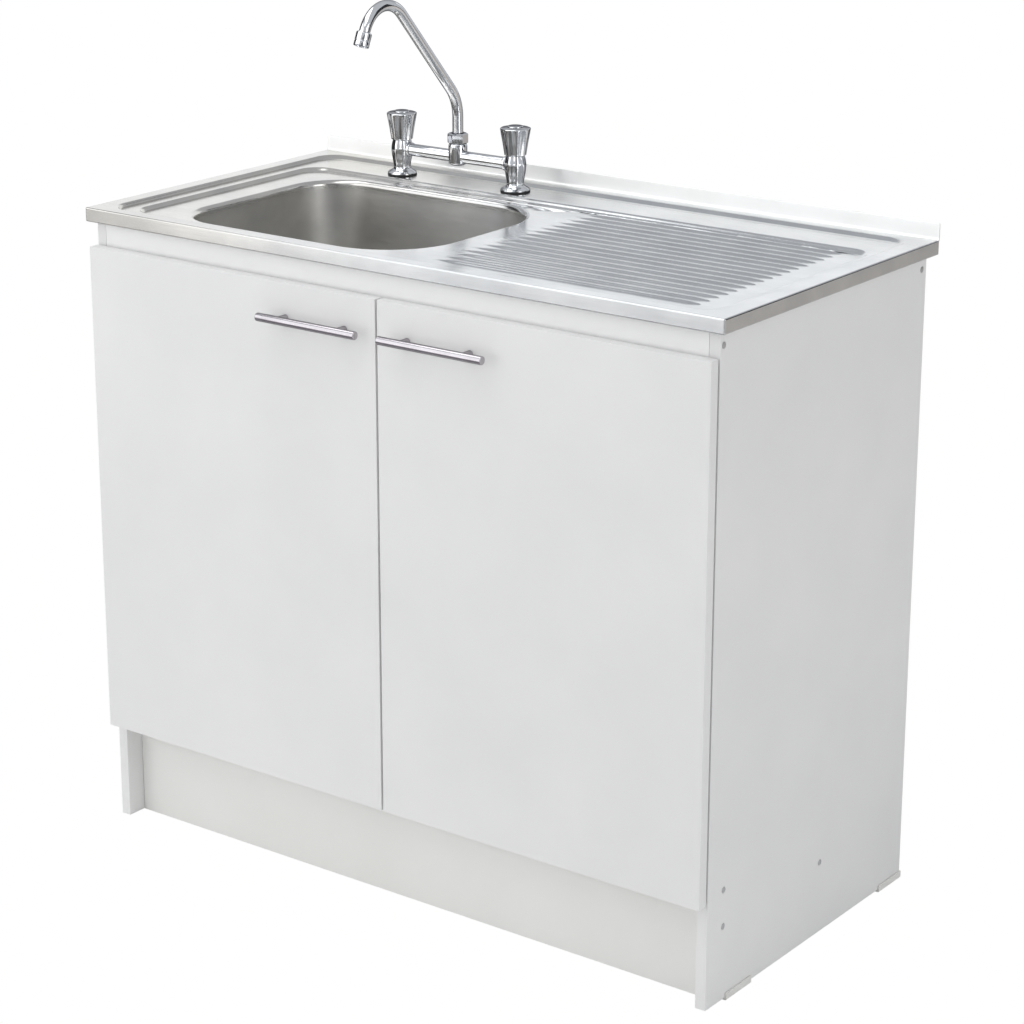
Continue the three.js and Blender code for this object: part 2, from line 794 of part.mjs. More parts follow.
// The mounting plate on the cabinet's side panel, with its two screws.
function hingePlate() {
  const base = panelFaceX - seatGap;
  const centre = pivotDepth + doorGap + plateScrewSetBack;
  const ribHalf = armWidth / 2 - armWall - seatGap;
  const rib = box(base - plateRibHeight, base, plateStart, armEnd - 1, -ribHalf, ribHalf);
  const wings = box(base - plateWingThickness, base, centre - plateWingWidth / 2,
    centre + plateWingWidth / 2, -plateWingHeight / 2, plateWingHeight / 2);
  const heads = [-1, 1].map((side) => {
    const head = disc(screwHeadRadius, 0, screwHeadHeight, smallSides).rotateY(-Math.PI / 2);
    return head.translate(base - plateWingThickness / 2, centre, (side * plateScrewSpacing) / 2);
  });
  return join(rib, wings, ...heads);
}

// ---- Doors, each in a group whose origin is its hinge line at floor level ----
const doorFrontFace = pivotDepth - doorThickness;
const handleX = handleCentre - pivotX;
const handleY = doorFrontFace - handleStandOff;
const postPlaces = [-1, 1].map((side) => handleX + (side * handlePostSpacing) / 2);
const hingeHeights = {
  lower: doorBottom + hingeEndDistance,
  upper: doorBottom + doorHeight - hingeEndDistance,
};

function doorPanel() {
  const plain = box(pivotInset - doorWidth, pivotInset, doorFrontFace, pivotDepth,
    doorBottom, doorBottom + doorHeight);
  const bores = Object.values(hingeHeights).map((height) => {
    const bore = pointBack(disc(cupBoreRadius, pivotDepth - cupBoreDepth, pivotDepth + 1, hingeSides));
    return bore.translate(cupCentre, 0, height);
  });
  const screwHoles = postPlaces.map((x) => {
    const hole = disc(handleScrewRadius + boreGap, doorFrontFace - 1, pivotDepth + 1, holeSides);
    return pointBack(hole).translate(x, 0, handleHeight);
  });
  return cut(plain, ...bores, ...screwHoles);
}

// The round bar with its two welded posts, each bored for a screw from inside the door.
function barHandle() {
  const chamfer = 0.8;
  const half = handleLength / 2;
  const foot = doorFrontFace - seatGap;
  const bar = pointX(turned([
    [0, -half],
    [handleRadius - chamfer, -half],
    [handleRadius, -half + chamfer],
    [handleRadius, half - chamfer],
    [handleRadius - chamfer, half],
    [0, half],
  ], roundSides)).translate(handleX, handleY, handleHeight);
  const posts = postPlaces.map((x) => (
    pointBack(disc(handlePostRadius, handleY, foot, smallSides)).translate(x, 0, handleHeight)));
  const bores = postPlaces.map((x) => {
    const end = foot - handleScrewBite - boreGap;
    const bore = disc(handleScrewRadius + boreGap, end, foot + 1, holeSides);
    return pointBack(bore).translate(x, 0, handleHeight);
  });
  return cut(join(bar, ...posts), ...bores);
}

function handleScrew(x) {
  const seat = pivotDepth + seatGap;
  const tip = doorFrontFace - seatGap - handleScrewBite;
  const screw = turned([
    [0, tip],
    [handleScrewRadius, tip],
    [handleScrewRadius, seat],
    [handleScrewHeadRadius, seat],
    [handleScrewHeadRadius * 0.8, seat + handleScrewHeadHeight],
    [0, seat + handleScrewHeadHeight],
  ], smallSides);
  return pointBack(screw).translate(x, 0, handleHeight);
}

const cupShape = hingeCup();
const armShape = hingeArm();
const plateShape = hingePlate();
const doorPieces = {
  door_panel: [doorPanel(), whiteBoard],
  bar_handle: [barHandle(), satinChrome],
  inner_handle_screw: [handleScrew(postPlaces[0]), zincSteel],
  outer_handle_screw: [handleScrew(postPlaces[1]), zincSteel],
};

for (const [sideName, side] of [['right', 1], ['left', -1]]) {
  const handed = side > 0 ? (geometry) => geometry.clone() : mirrored;
  const hingeLine = subAssembly(group, side * pivotX, pivotY, 0);
  for (const [piece, [geometry, material]] of Object.entries(doorPieces)) {
    place(`${sideName}_${piece}`, handed(geometry), material(), hingeLine);
  }
  for (const [level, height] of Object.entries(hingeHeights)) {
    const name = `${sideName}_${level}_hinge`;
    place(`${name}_cup`, handed(cupShape), zincSteel(), hingeLine, 0, 0, height);
    place(`${name}_arm`, handed(armShape), zincSteel(), hingeLine, 0, 0, height);
    place(`${name}_plate`, handed(plateShape), zincSteel(), hingeLine, 0, 0, height);
  }
}

// ---- Bridge mixer tap ----
const tap = subAssembly(group, tapCentre, tapSetBack, ledgeHeight);
const pillarFoot = ledgeGap + gasketThickness + ledgeGap;

// A fluted pillar on a domed foot, with its threaded tail; the bridge socket faces +X.
function tapPillar() {
  const fluteDepth = 1;
  const sections = [
    [pillarFoot, pillarFlangeRadius, 0],
    [pillarFoot + 1.6, pillarFlangeRadius + 0.3, 0],
    [pillarFoot + 4, pillarFlangeRadius * 0.84, 0],
    [pillarFoot + 6.5, pillarWaist + 1, fluteDepth * 0.5],
    [pillarFoot + 11, pillarWaist, fluteDepth],
    [bridgeHeight - bridgeRadius - 4, (pillarWaist + pillarRadius) / 2 + 0.4, fluteDepth],
    [bridgeHeight, pillarRadius, fluteDepth],
    [pillarTop - 3, pillarRadius, fluteDepth],
    [pillarTop, pillarRadius - 1.6, fluteDepth],
  ];
  const casting = loft(sections.map(([height, radius, depth]) => (
    flutedRing(radius, pillarFlutes, depth, height))));
  const tail = disc(tailRadius, -tailLength, pillarFoot + 1, roundSides);
  const waterway = disc(tailBoreRadius, -tailLength - 1, bridgeHeight - bridgeRadius - 10, smallSides);
  const spindleBore = disc(spindleRadius + boreGap, spindleBottom - boreGap, pillarTop + 1, smallSides);
  const socket = pointX(disc(bridgeRadius + boreGap, pillarRadius - bridgeSocketDepth - boreGap,
    pillarRadius + 5, roundSides)).translate(0, 0, bridgeHeight);
  return cut(join(casting, tail), waterway, spindleBore, socket);
}

function backNut() {
  const top = -sheet - seatGap;
  const nut = hexagon(backNutAcross, top - backNutThickness, top);
  return cut(nut, disc(tailRadius + boreGap, top - backNutThickness - 1, top + 1, roundSides));
}

// The cross tube with the upright hub that carries the spout.
function tapBridge() {
  const half = tapSpacing / 2 - pillarRadius + bridgeSocketDepth;
  const tube = pointX(disc(bridgeRadius, -half, half, roundSides)).translate(0, 0, bridgeHeight);
  const hub = turned([
    [0, hubBottom],
    [hubRadius - 2, hubBottom],
    [hubRadius, hubBottom + 2],
    [hubRadius, hubTop],
    [hubNippleRadius, hubTop],
    [hubNippleRadius, hubTop + hubNippleHeight],
    [0, hubTop + hubNippleHeight],
  ], roundSides);
  const well = disc(spoutRadius + boreGap, spoutBottom - seatGap, hubTop + hubNippleHeight + 1,
    roundSides);
  return cut(join(tube, hub), well);
}

function spoutNut() {
  const bottom = hubTop + seatGap;
  const top = bottom + spoutNutHeight;
  const nut = hexagon(spoutNutAcross, bottom, top);
  const ease = turned([
    [0, bottom - 1],
    [hubNippleRadius + boreGap, bottom - 1],
    [hubNippleRadius + boreGap, hubTop + hubNippleHeight + seatGap],
    [spoutRadius + boreGap, hubTop + hubNippleHeight + seatGap],
    [spoutRadius + boreGap, top + 1],
    [0, top + 1],
  ], roundSides);
  return cut(nut, ease);
}

const tipDirection = new THREE.Vector3(Math.cos(spoutTipSlope), 0, Math.sin(spoutTipSlope));

// The spout's centre line in its own upright plane: x is the reach and z the height.
function spoutLine() {
  const points = [new THREE.Vector3(0, 0, spoutBottom), new THREE.Vector3(0, 0, spoutPole)];
  const heading = Math.PI / 2;
  const arc = (radius, from, to, steps) => {
    const start = points[points.length - 1];
    const bend = Math.sign(from - to) * radius;
    for (let i = 1; i <= steps; i += 1) {
      const turn = THREE.MathUtils.lerp(from, to, i / steps);
      const x = start.x + bend * (Math.sin(from) - Math.sin(turn));
      const z = start.z + bend * (Math.cos(turn) - Math.cos(from));
      points.push(new THREE.Vector3(x, 0, z));
    }
  };
  arc(spoutLowerBend, heading, spoutSlope, 6);
  const knee = points[points.length - 1];
  const run = new THREE.Vector3(Math.cos(spoutSlope), 0, Math.sin(spoutSlope));
  points.push(knee.clone().addScaledVector(run, spoutArm * 0.5));
  points.push(knee.clone().addScaledVector(run, spoutArm));
  arc(spoutHookRadius, spoutSlope, spoutTipSlope, 12);
  const hookEnd = points[points.length - 1];
  for (const share of [0.15, 1]) {
    points.push(hookEnd.clone().addScaledVector(tipDirection, spoutTail * share));
  }
  return points;
}

const spoutPoints = spoutLine();
const spoutTip = spoutPoints[spoutPoints.length - 1];

// The aerator, turned about its own axis and then tipped along the end of the spout.
function tipped(geometry, start) {
  const turn = new THREE.Quaternion().setFromUnitVectors(new THREE.Vector3(0, 0, 1), tipDirection);
  const at = spoutTip.clone().addScaledVector(tipDirection, start);
  return geometry.applyQuaternion(turn).translate(at.x, at.y, at.z);
}

// A turned housing over the spout's end, open to the spout, with its screen set in below.
function aerator() {
  const throat = aeratorRadius - aeratorWall;
  const end = aeratorLength - aeratorSocket;
  const screenTop = end - aeratorScreenInset - aeratorScreenThickness;
  const housing = turned([
    [0, seatGap],
    [spoutRadius + boreGap, seatGap],
    [spoutRadius + boreGap, -aeratorSocket],
    [aeratorRadius - 0.8, -aeratorSocket],
    [aeratorRadius, -aeratorSocket + 0.8],
    [aeratorRadius, end],
    [throat, end],
    [throat, screenTop + aeratorScreenThickness],
    [0, screenTop + aeratorScreenThickness],
  ], roundSides);
  return tipped(housing, 0);
}

// A fluted knob on its valve stem, hollow below, with a raised disc on top.
function knob() {
  const sections = [
    [knobBottom, knobBottomRadius - 0.8, knobFluteDepth * 0.5],
    [knobBottom + 2, knobBottomRadius, knobFluteDepth],
    [knobTop - 6, knobTopRadius - 0.8, knobFluteDepth],
    [knobTop - 1.5, knobTopRadius, knobFluteDepth * 0.8],
    [knobTop, knobTopRadius - 2, knobFluteDepth * 0.4],
  ];
  const body = loft(sections.map(([height, radius, depth]) => (
    flutedRing(radius, knobFlutes, depth, height))));
  const hollow = disc(knobHollowRadius, knobBottom - 1, knobBottom + knobHollowDepth, roundSides);
  const stem = disc(spindleRadius, spindleBottom, knobTop - 3, smallSides);
  const top = knobTop + knobCapThickness;
  const cap = turned([
    [0, knobTop - 2],
    [knobCapRadius, knobTop - 2],
    [knobCapRadius, top - 1],
    [knobCapRadius - 1.2, top - 0.2],
    [0, top],
  ], roundSides);
  return join(cut(body, hollow), stem, cap);
}

const pillarShape = tapPillar();
for (const [sideName, side, water] of [['left', -1, 'hot'], ['right', 1, 'cold']]) {
  const stand = subAssembly(tap, (side * tapSpacing) / 2, 0, 0);
  const facing = side < 0 ? pillarShape.clone() : pillarShape.clone().rotateZ(Math.PI);
  place(`${sideName}_tap_pillar`, facing, chrome(), stand);
  place(`${sideName}_tap_gasket`, washer(tailRadius + boreGap, gasketRadius, ledgeGap,
    ledgeGap + gasketThickness, roundSides), rubber(), stand);
  place(`${sideName}_tap_backnut`, backNut(), brass(), stand);
  place(`${water}_knob`, knob(), chrome(), stand);
}
place('tap_bridge', tapBridge(), chrome(), tap);
place('spout_nut', spoutNut(), chrome(), tap);

const spout = subAssembly(tap, 0, 0, 0);
spout.rotation.z = -Math.PI / 2;
place('spout_tube', swept(spoutPoints, spoutRadius, new THREE.Vector3(0, 1, 0)), chrome(), spout);
place('aerator', aerator(), chrome(), spout);

// ---- Waste and trap, on the axis of the bowl's outlet; heights from the bowl's lowest face ----
const waste = subAssembly(group, bowlCentreX, bowlCentreY, drainerHeight - bowlDepth - bowlFall);
const tailEnd = -wasteTailLength;

function wasteFlange() {
  return turned([
    [wasteThroatRadius, tailEnd],
    [wasteTailRadius, tailEnd],
    [wasteTailRadius, seatGap],
    [wasteFlangeRadius, seatGap],
    [wasteFlangeRadius - 1, seatGap + wasteFlangeThickness],
    [wasteThroatRadius + 2, seatGap + wasteFlangeThickness],
    [wasteThroatRadius, seatGap - 1],
    [wasteThroatRadius, tailEnd],
  ], roundSides);
}

const wasteNutTop = -sheet - seatGap;
place('waste_flange', wasteFlange(), stainless(), waste);

// A plastic ring nut with grip ribs round it.
function ringNut(radius, inner, lipInner, lipLength, z0, z1) {
  const gripDepth = 1.5;
  const rings = [z0, z1].map((height) => flutedRing(radius, unionNutGrips, gripDepth, height));
  const ease = turned([
    [0, z0 - 1],
    [lipInner, z0 - 1],
    [lipInner, z0 + lipLength],
    [inner, z0 + lipLength],
    [inner, z1 + 1],
    [0, z1 + 1],
  ], roundSides);
  return cut(loft(rings), ease);
}

const wasteBore = wasteTailRadius + boreGap;
const trapBore = trapRadius + boreGap;
place('waste_backnut', ringNut(wasteNutRadius, wasteBore, wasteBore, 1,
  wasteNutTop - wasteNutThickness, wasteNutTop), whitePlastic(), waste);

const trapTop = tailEnd - seatGap;
const uTurn = trapTop - trapInlet;
const riseTop = uTurn + trapRise;
const outletY = 2 * trapBend;
const trapPlane = new THREE.Vector3(1, 0, 0);

// Points of an arc about (y, z) in the trap's upright plane.
function trapArc(y, z, radius, from, to, steps) {
  return Array.from({ length: steps + 1 }, (_, i) => {
    const turn = THREE.MathUtils.lerp(from, to, i / steps);
    return new THREE.Vector3(0, y + radius * Math.cos(turn), z + radius * Math.sin(turn));
  });
}

// A pipe along the points; its bore runs on past both ends so that they stay open.
function trapPipe(points) {
  const beyond = (end, next) => end.clone().multiplyScalar(2).sub(next);
  const [last, beforeLast] = points.slice(-2).reverse();
  const bore = [beyond(points[0], points[1]), ...points, beyond(last, beforeLast)];
  return cut(swept(points, trapRadius, trapPlane), swept(bore, trapRadius - trapWall, trapPlane));
}

// The fluted union at an end of the water seal. Its lip is part of the pipe above it.
function sealUnion(y) {
  const union = ringNut(unionNutRadius, trapBore, trapRadius - trapWall / 2, unionLipLength,
    -riseTop - unionLipLength, -riseTop + unionGripLength);
  return union.rotateX(Math.PI).translate(0, y, 0);
}

// The straight pipe down from the waste, with the nut that holds it to the tail.
function trapInletPipe() {
  const pipe = trapPipe([new THREE.Vector3(0, 0, trapTop), new THREE.Vector3(0, 0, riseTop)]);
  const nutBottom = trapTop - unionLipLength;
  const nut = ringNut(unionNutRadius, wasteBore, trapRadius - trapWall / 2, unionLipLength,
    nutBottom, nutBottom + unionNutLength);
  return join(pipe, nut, sealUnion(0));
}

// The water seal, a half turn between the two unions.
function trapUBend() {
  return trapPipe([
    new THREE.Vector3(0, 0, riseTop - seatGap),
    ...trapArc(trapBend, uTurn, trapBend, Math.PI, Math.PI * 2, 10),
    new THREE.Vector3(0, outletY, riseTop - seatGap),
  ]);
}

// The bend to the back with its union.
function trapOutletBendPiece() {
  const bendStart = riseTop + trapStub;
  const pipe = trapPipe([
    new THREE.Vector3(0, outletY, riseTop),
    ...trapArc(outletY + trapOutletBend, bendStart, trapOutletBend, Math.PI, Math.PI / 2, 5),
    new THREE.Vector3(0, topDepth - outletRearMargin - bowlCentreY, bendStart + trapOutletBend),
  ]);
  return join(pipe, sealUnion(outletY));
}

place('trap_inlet_pipe', trapInletPipe(), whitePlastic(), waste);
place('trap_u_bend', trapUBend(), whitePlastic(), waste);
place('trap_outlet_bend', trapOutletBendPiece(), whitePlastic(), waste);

// The origin is on the floor under the middle of the unit's outline.
const outlineFront = doorFront - handleStandOff - handleRadius;
group.position.y = -(outlineFront + topDepth) / 2;

export default group;
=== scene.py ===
# %% [markdown]
# # A kitchen sink unit in a white studio
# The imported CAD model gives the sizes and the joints. This script dresses it: the boards get
# small rounded edges, the pressed steel top and the tap are built again from finer curves,
# and every surface gets a procedural material. All lengths are metres, +Z is up, and the
# doors face -Y.

# %% Load the frame
import bmesh
import bpy
import math
from mathutils import Matrix, Vector


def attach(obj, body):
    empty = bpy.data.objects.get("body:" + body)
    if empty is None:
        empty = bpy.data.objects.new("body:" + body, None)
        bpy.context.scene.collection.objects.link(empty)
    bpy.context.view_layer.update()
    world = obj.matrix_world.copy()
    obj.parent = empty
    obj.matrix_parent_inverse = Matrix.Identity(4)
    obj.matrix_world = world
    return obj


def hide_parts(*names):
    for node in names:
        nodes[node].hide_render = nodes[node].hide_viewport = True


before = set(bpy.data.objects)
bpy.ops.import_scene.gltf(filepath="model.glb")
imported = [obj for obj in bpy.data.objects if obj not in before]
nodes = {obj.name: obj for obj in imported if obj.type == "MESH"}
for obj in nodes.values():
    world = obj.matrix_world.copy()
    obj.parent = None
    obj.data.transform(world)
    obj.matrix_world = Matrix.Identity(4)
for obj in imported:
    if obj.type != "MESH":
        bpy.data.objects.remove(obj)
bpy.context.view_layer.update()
scene = bpy.context.scene
MM = 0.001
FRONT_EDGE_Y = -0.2335  # the front edge of the sink top, in the model's frame

# %% [markdown]
# ## The camera
# The photograph was taken from the front right with a long lens. A camera can be placed by eye,
# but a pinhole camera fitted to the corners of the top, the doors and the side panel agrees with
# them better. The fit gives a focal length in pixels, which the sensor width turns into a lens.
# The shift carries the small offset of the picture's centre.

# %% Camera
FOCAL_PX, CENTRE_X_PX, CENTRE_Y_PX, IMAGE_PX = 2855.67, 482.33, 459.72, 1024
AZIMUTH, ELEVATION, ROLL = math.radians(37.15), math.radians(17.17), math.radians(-0.12)
DISTANCE = 3.79298
TARGET = Vector((-0.03095, 0.25 + FRONT_EDGE_Y, 0.5502))
SENSOR_MM = 36

camera_data = bpy.data.cameras.new("camera")
camera = bpy.data.objects.new("camera", camera_data)
scene.collection.objects.link(camera)
scene.camera = camera
camera_data.sensor_width = SENSOR_MM
camera_data.lens = FOCAL_PX / IMAGE_PX * SENSOR_MM
camera_data.shift_x = (IMAGE_PX / 2 - CENTRE_X_PX) / IMAGE_PX
camera_data.shift_y = (CENTRE_Y_PX - IMAGE_PX / 2) / IMAGE_PX
toward_camera = Vector((
    math.sin(AZIMUTH) * math.cos(ELEVATION),
    -math.cos(AZIMUTH) * math.cos(ELEVATION),
    math.sin(ELEVATION),
))
level_right = (-toward_camera).cross(Vector((0, 0, 1))).normalized()
level_up = toward_camera.cross(level_right)
right = level_right * math.cos(ROLL) + level_up * math.sin(ROLL)
up = -level_right * math.sin(ROLL) + level_up * math.cos(ROLL)
camera.matrix_world = Matrix.Translation(TARGET + toward_camera * DISTANCE) @ Matrix(
    (right, up, toward_camera)).transposed().to_4x4()
print("camera at", [round(value, 3) for value in camera.matrix_world.translation])

# %% [markdown]
# ## A mask that every material shares
# No real finish is the same all over: a board has a faint texture, steel has grain, rubber has
# dust. Each material could hold its own noise, but a node group is built once and placed many
# times. `speckle` gives a mask between 0 and 1 from noise in object coordinates.

# %% Shared mask group
def speckle_group():
    group = bpy.data.node_groups.new("speckle", "ShaderNodeTree")
    group.interface.new_socket("Scale", in_out="INPUT", socket_type="NodeSocketVector")
    group.interface.new_socket("Detail", in_out="INPUT", socket_type="NodeSocketFloat")
    group.interface.new_socket("Mask", in_out="OUTPUT", socket_type="NodeSocketFloat")
    group_in = group.nodes.new("NodeGroupInput")
    group_out = group.nodes.new("NodeGroupOutput")
    place = group.nodes.new("ShaderNodeTexCoord")
    stretch = group.nodes.new("ShaderNodeVectorMath")
    stretch.operation = "MULTIPLY"
    noise = group.nodes.new("ShaderNodeTexNoise")
    noise.inputs["Scale"].default_value = 1
    group.links.new(place.outputs["Object"], stretch.inputs[0])
    group.links.new(group_in.outputs["Scale"], stretch.inputs[1])
    group.links.new(stretch.outputs[0], noise.inputs["Vector"])
    group.links.new(group_in.outputs["Detail"], noise.inputs["Detail"])
    group.links.new(noise.outputs["Fac"], group_out.inputs["Mask"])
    return group


SPECKLE = speckle_group()
print("made the node group", SPECKLE.name)

# %% [markdown]
# ## One recipe for all finishes
# A finish is a Principled shader. Two masks drive it: a coarse one blends two colours, and a fine
# one sets the roughness and a small bump. A value that is the same all over the surface, such as
# Metallic, is set on the shader itself, because an export keeps it there.

# %% The recipe
MIX_A, MIX_B, MIX_RESULT = 6, 7, 2  # the colour sockets of a Mix node


def speckle(tree, scale, detail=3.0):
    node = tree.nodes.new("ShaderNodeGroup")
    node.node_tree = SPECKLE
    node.inputs["Scale"].default_value = scale
    node.inputs["Detail"].default_value = detail
    return node.outputs["Mask"]


def remap(tree, mask, low, high, from_low=0.3, from_high=0.7):
    """Stretches a mask; most of the noise lies between the two default limits."""
    node = tree.nodes.new("ShaderNodeMapRange")
    node.inputs["From Min"].default_value = from_low
    node.inputs["From Max"].default_value = from_high
    node.inputs["To Min"].default_value = low
    node.inputs["To Max"].default_value = high
    tree.links.new(mask, node.inputs["Value"])
    return node.outputs["Result"]


def blend_colours(tree, mask, first, second):
    node = tree.nodes.new("ShaderNodeMix")
    node.data_type = "RGBA"
    tree.links.new(mask, node.inputs["Factor"])
    node.inputs[MIX_A].default_value = (*first, 1)
    node.inputs[MIX_B].default_value = (*second, 1)
    return node.outputs[MIX_RESULT]


def bump(tree, shader, height, strength, distance):
    node = tree.nodes.new("ShaderNodeBump")
    node.inputs["Strength"].default_value = strength
    node.inputs["Distance"].default_value = distance
    tree.links.new(height, node.inputs["Height"])
    tree.links.new(node.outputs["Normal"], shader.inputs["Normal"])


def surface(name, colours, roughness, metallic=0.0, tint_scale=(6, 6, 6),
            grain_scale=(900, 900, 900), grain_bump=0.1, grain_depth=0.00002, **sockets):
    """A Principled material whose colour, roughness and bump vary with noise."""
    material = bpy.data.materials.new(name)
    material.use_nodes = True
    tree = material.node_tree
    shader = tree.nodes["Principled BSDF"]
    shader.inputs["Metallic"].default_value = metallic
    for socket, value in sockets.items():
        shader.inputs[socket.replace("_", " ")].default_value = value
    tint = speckle(tree, tint_scale)
    tree.links.new(blend_colours(tree, remap(tree, tint, 0, 1), *colours),
                   shader.inputs["Base Color"])
    grain = speckle(tree, grain_scale, 4.0)
    tree.links.new(remap(tree, grain, *roughness), shader.inputs["Roughness"])
    bump(tree, shader, grain, grain_bump, grain_depth)
    return material


print("noise between 0.3 and 0.7 is stretched to the full range of a finish")

# %% [markdown]
# ## The boards
# The cabinet is chipboard with a white laminate, and a painted hardboard back. A laminate could
# be a flat white, but slow and fine noise keeps large doors from looking like plastic. The top
# rail is the doors' laminate with painted light: its colour is brighter than the doors', standing
# in for light that reaches under the lip. The plinth is a little warmer than the doors, as the
# photograph shows.

# %% Board finishes
BOARD_GRAIN = (700, 700, 700)
laminate = surface("white_laminate", ((0.80, 0.80, 0.80), (0.835, 0.835, 0.83)), (0.34, 0.44),
                   grain_scale=BOARD_GRAIN, grain_bump=0.12)
warm_laminate = surface("warm_laminate", ((0.81, 0.81, 0.785), (0.845, 0.845, 0.825)),
                        (0.36, 0.46), grain_scale=BOARD_GRAIN, grain_bump=0.12)
# Painted light: the rail's laminate is made brighter than the doors' to stand in for light under
# the lip.
rail_laminate_painted_bright = surface("rail_laminate_painted_bright", ((0.91, 0.91, 0.905), (0.935, 0.935, 0.93)), (0.34, 0.44),
                        grain_scale=BOARD_GRAIN, grain_bump=0.12)
hardboard = surface("painted_hardboard", ((0.70, 0.69, 0.66), (0.77, 0.76, 0.73)), (0.5, 0.7),
                    tint_scale=(30, 30, 30), grain_scale=(400, 400, 400), grain_bump=0.3)
print("board finishes:", laminate.name, warm_laminate.name, rail_laminate_painted_bright.name, hardboard.name)

# %% [markdown]
# ## The pressed steel
# The top is brushed along its length, so its grain is stretched along X. Thin sheet is never
# quite flat: slow waves bend what it mirrors. As in the photograph, the colour carries a painted
# reflection tint, warm at the left and cool at the drainer, for the surroundings the steel mirrors,
# and the bowl is more satin than the deck. Separate materials could do this, but a mask along one
# axis leaves no seam in the sheet.

# %% Steel finishes
BRUSHED_GRAIN, SHEET_TINT = (30, 700, 700), (14, 20, 30)
SHEET_WAVES, WAVE_DEPTH = (9, 14, 26), 0.0006
REFLECTION_TINT_START_X, REFLECTION_TINT_END_X = -0.40, 0.05
BOWL_SATIN_HIGH, BOWL_SATIN_LOW = 0.862, 0.850


def ripple(material, scale, strength, distance):
    """Adds the slow waves of thin sheet metal under a material's fine bump."""
    tree = material.node_tree
    fine = tree.nodes["Bump"]
    slow = tree.nodes.new("ShaderNodeBump")
    slow.inputs["Strength"].default_value = strength
    slow.inputs["Distance"].default_value = distance
    tree.links.new(speckle(tree, scale, 1.0), slow.inputs["Height"])
    tree.links.new(slow.outputs["Normal"], fine.inputs["Normal"])


def place_mask(tree, axis, start, end):
    """0 to 1 between two places along an axis of the object's own coordinates."""
    place = tree.nodes.new("ShaderNodeTexCoord")
    split = tree.nodes.new("ShaderNodeSeparateXYZ")
    tree.links.new(place.outputs["Object"], split.inputs[0])
    return remap(tree, split.outputs[axis], 0, 1, start, end)


def reflection_tint_across(material, left, right):
    """Multiplies a material's colour by a painted reflection tint that changes slowly along X."""
    tree = material.node_tree
    shader = tree.nodes["Principled BSDF"]
    colour = shader.inputs["Base Color"].links[0].from_socket
    tone = blend_colours(tree, place_mask(tree, "X", REFLECTION_TINT_START_X, REFLECTION_TINT_END_X), left, right)
    multiply = tree.nodes.new("ShaderNodeMix")
    multiply.data_type = "RGBA"
    multiply.blend_type = "MULTIPLY"
    multiply.inputs["Factor"].default_value = 1
    tree.links.new(colour, multiply.inputs[MIX_A])
    tree.links.new(tone, multiply.inputs[MIX_B])
    tree.links.new(multiply.outputs[MIX_RESULT], shader.inputs["Base Color"])


def satin_below(material, high, low, extra):
    """Makes a material rougher under a height."""
    tree = material.node_tree
    shader = tree.nodes["Principled BSDF"]
    add = tree.nodes.new("ShaderNodeMath")
    add.operation = "MULTIPLY_ADD"
    add.inputs[1].default_value = extra
    tree.links.new(place_mask(tree, "Z", high, low), add.inputs[0])
    tree.links.new(shader.inputs["Roughness"].links[0].from_socket, add.inputs[2])
    tree.links.new(add.outputs[0], shader.inputs["Roughness"])


steel = surface("pressed_stainless", ((0.60, 0.60, 0.595), (0.70, 0.695, 0.68)), (0.14, 0.22),
                metallic=1.0, tint_scale=SHEET_TINT, grain_scale=BRUSHED_GRAIN,
                grain_bump=0.02, grain_depth=0.00001)
ripple(steel, SHEET_WAVES, 0.12, WAVE_DEPTH)
# Painted reflection: the steel's colour is tinted warm at the left and cool at the drainer, for the
# surroundings it mirrors.
reflection_tint_across(steel, (0.94, 0.92, 0.885), (0.95, 0.97, 1.0))
satin_below(steel, BOWL_SATIN_HIGH, BOWL_SATIN_LOW, 0.19)
# Painted light: the upstand's steel is made brighter and less metallic than the deck's, so that it
# shows almost white.
upstand_steel_painted_bright = surface("upstand_stainless_painted_bright", ((0.92, 0.92, 0.905), (0.96, 0.96, 0.95)), (0.29, 0.31),
                      metallic=0.45, tint_scale=SHEET_TINT, grain_scale=BRUSHED_GRAIN,
                      grain_bump=0.002, grain_depth=0.00001)
ripple(upstand_steel_painted_bright, SHEET_WAVES, 0.05, WAVE_DEPTH)
waste_steel = surface("turned_stainless", ((0.60, 0.60, 0.59), (0.70, 0.70, 0.68)),
                      (0.18, 0.28), metallic=1.0, tint_scale=(60, 60, 60))
print("steel finishes:", steel.name, upstand_steel_painted_bright.name, waste_steel.name)

# %% [markdown]
# ## The tap's chrome and the handles' satin chrome
# Chrome is almost a mirror, so it shows the room more than itself. Its dark outlines come from
# the Specular Tint socket, which darkens a metal's reflection near its outline.

# %% Chrome finishes
chrome = surface("polished_chrome", ((0.80, 0.81, 0.83), (0.86, 0.87, 0.89)), (0.035, 0.07),
                 metallic=1.0, tint_scale=(40, 40, 40), grain_bump=0.006,
                 Specular_Tint=(0.12, 0.12, 0.13, 1))
satin = surface("satin_chrome", ((0.49, 0.465, 0.49), (0.57, 0.545, 0.57)), (0.13, 0.20),
                metallic=1.0, tint_scale=(40, 40, 40), grain_scale=(60, 1200, 1200),
                grain_bump=0.03, Specular_Tint=(0.05, 0.05, 0.06, 1))
print("chrome finishes:", chrome.name, satin.name)

# %% [markdown]
# ## The small parts
# Hinges and screws are zinc plated, seals are rubber, tap backnuts are brass, and the trap and
# the glides are white plastic. They are hardly seen, so the shared recipe is enough.

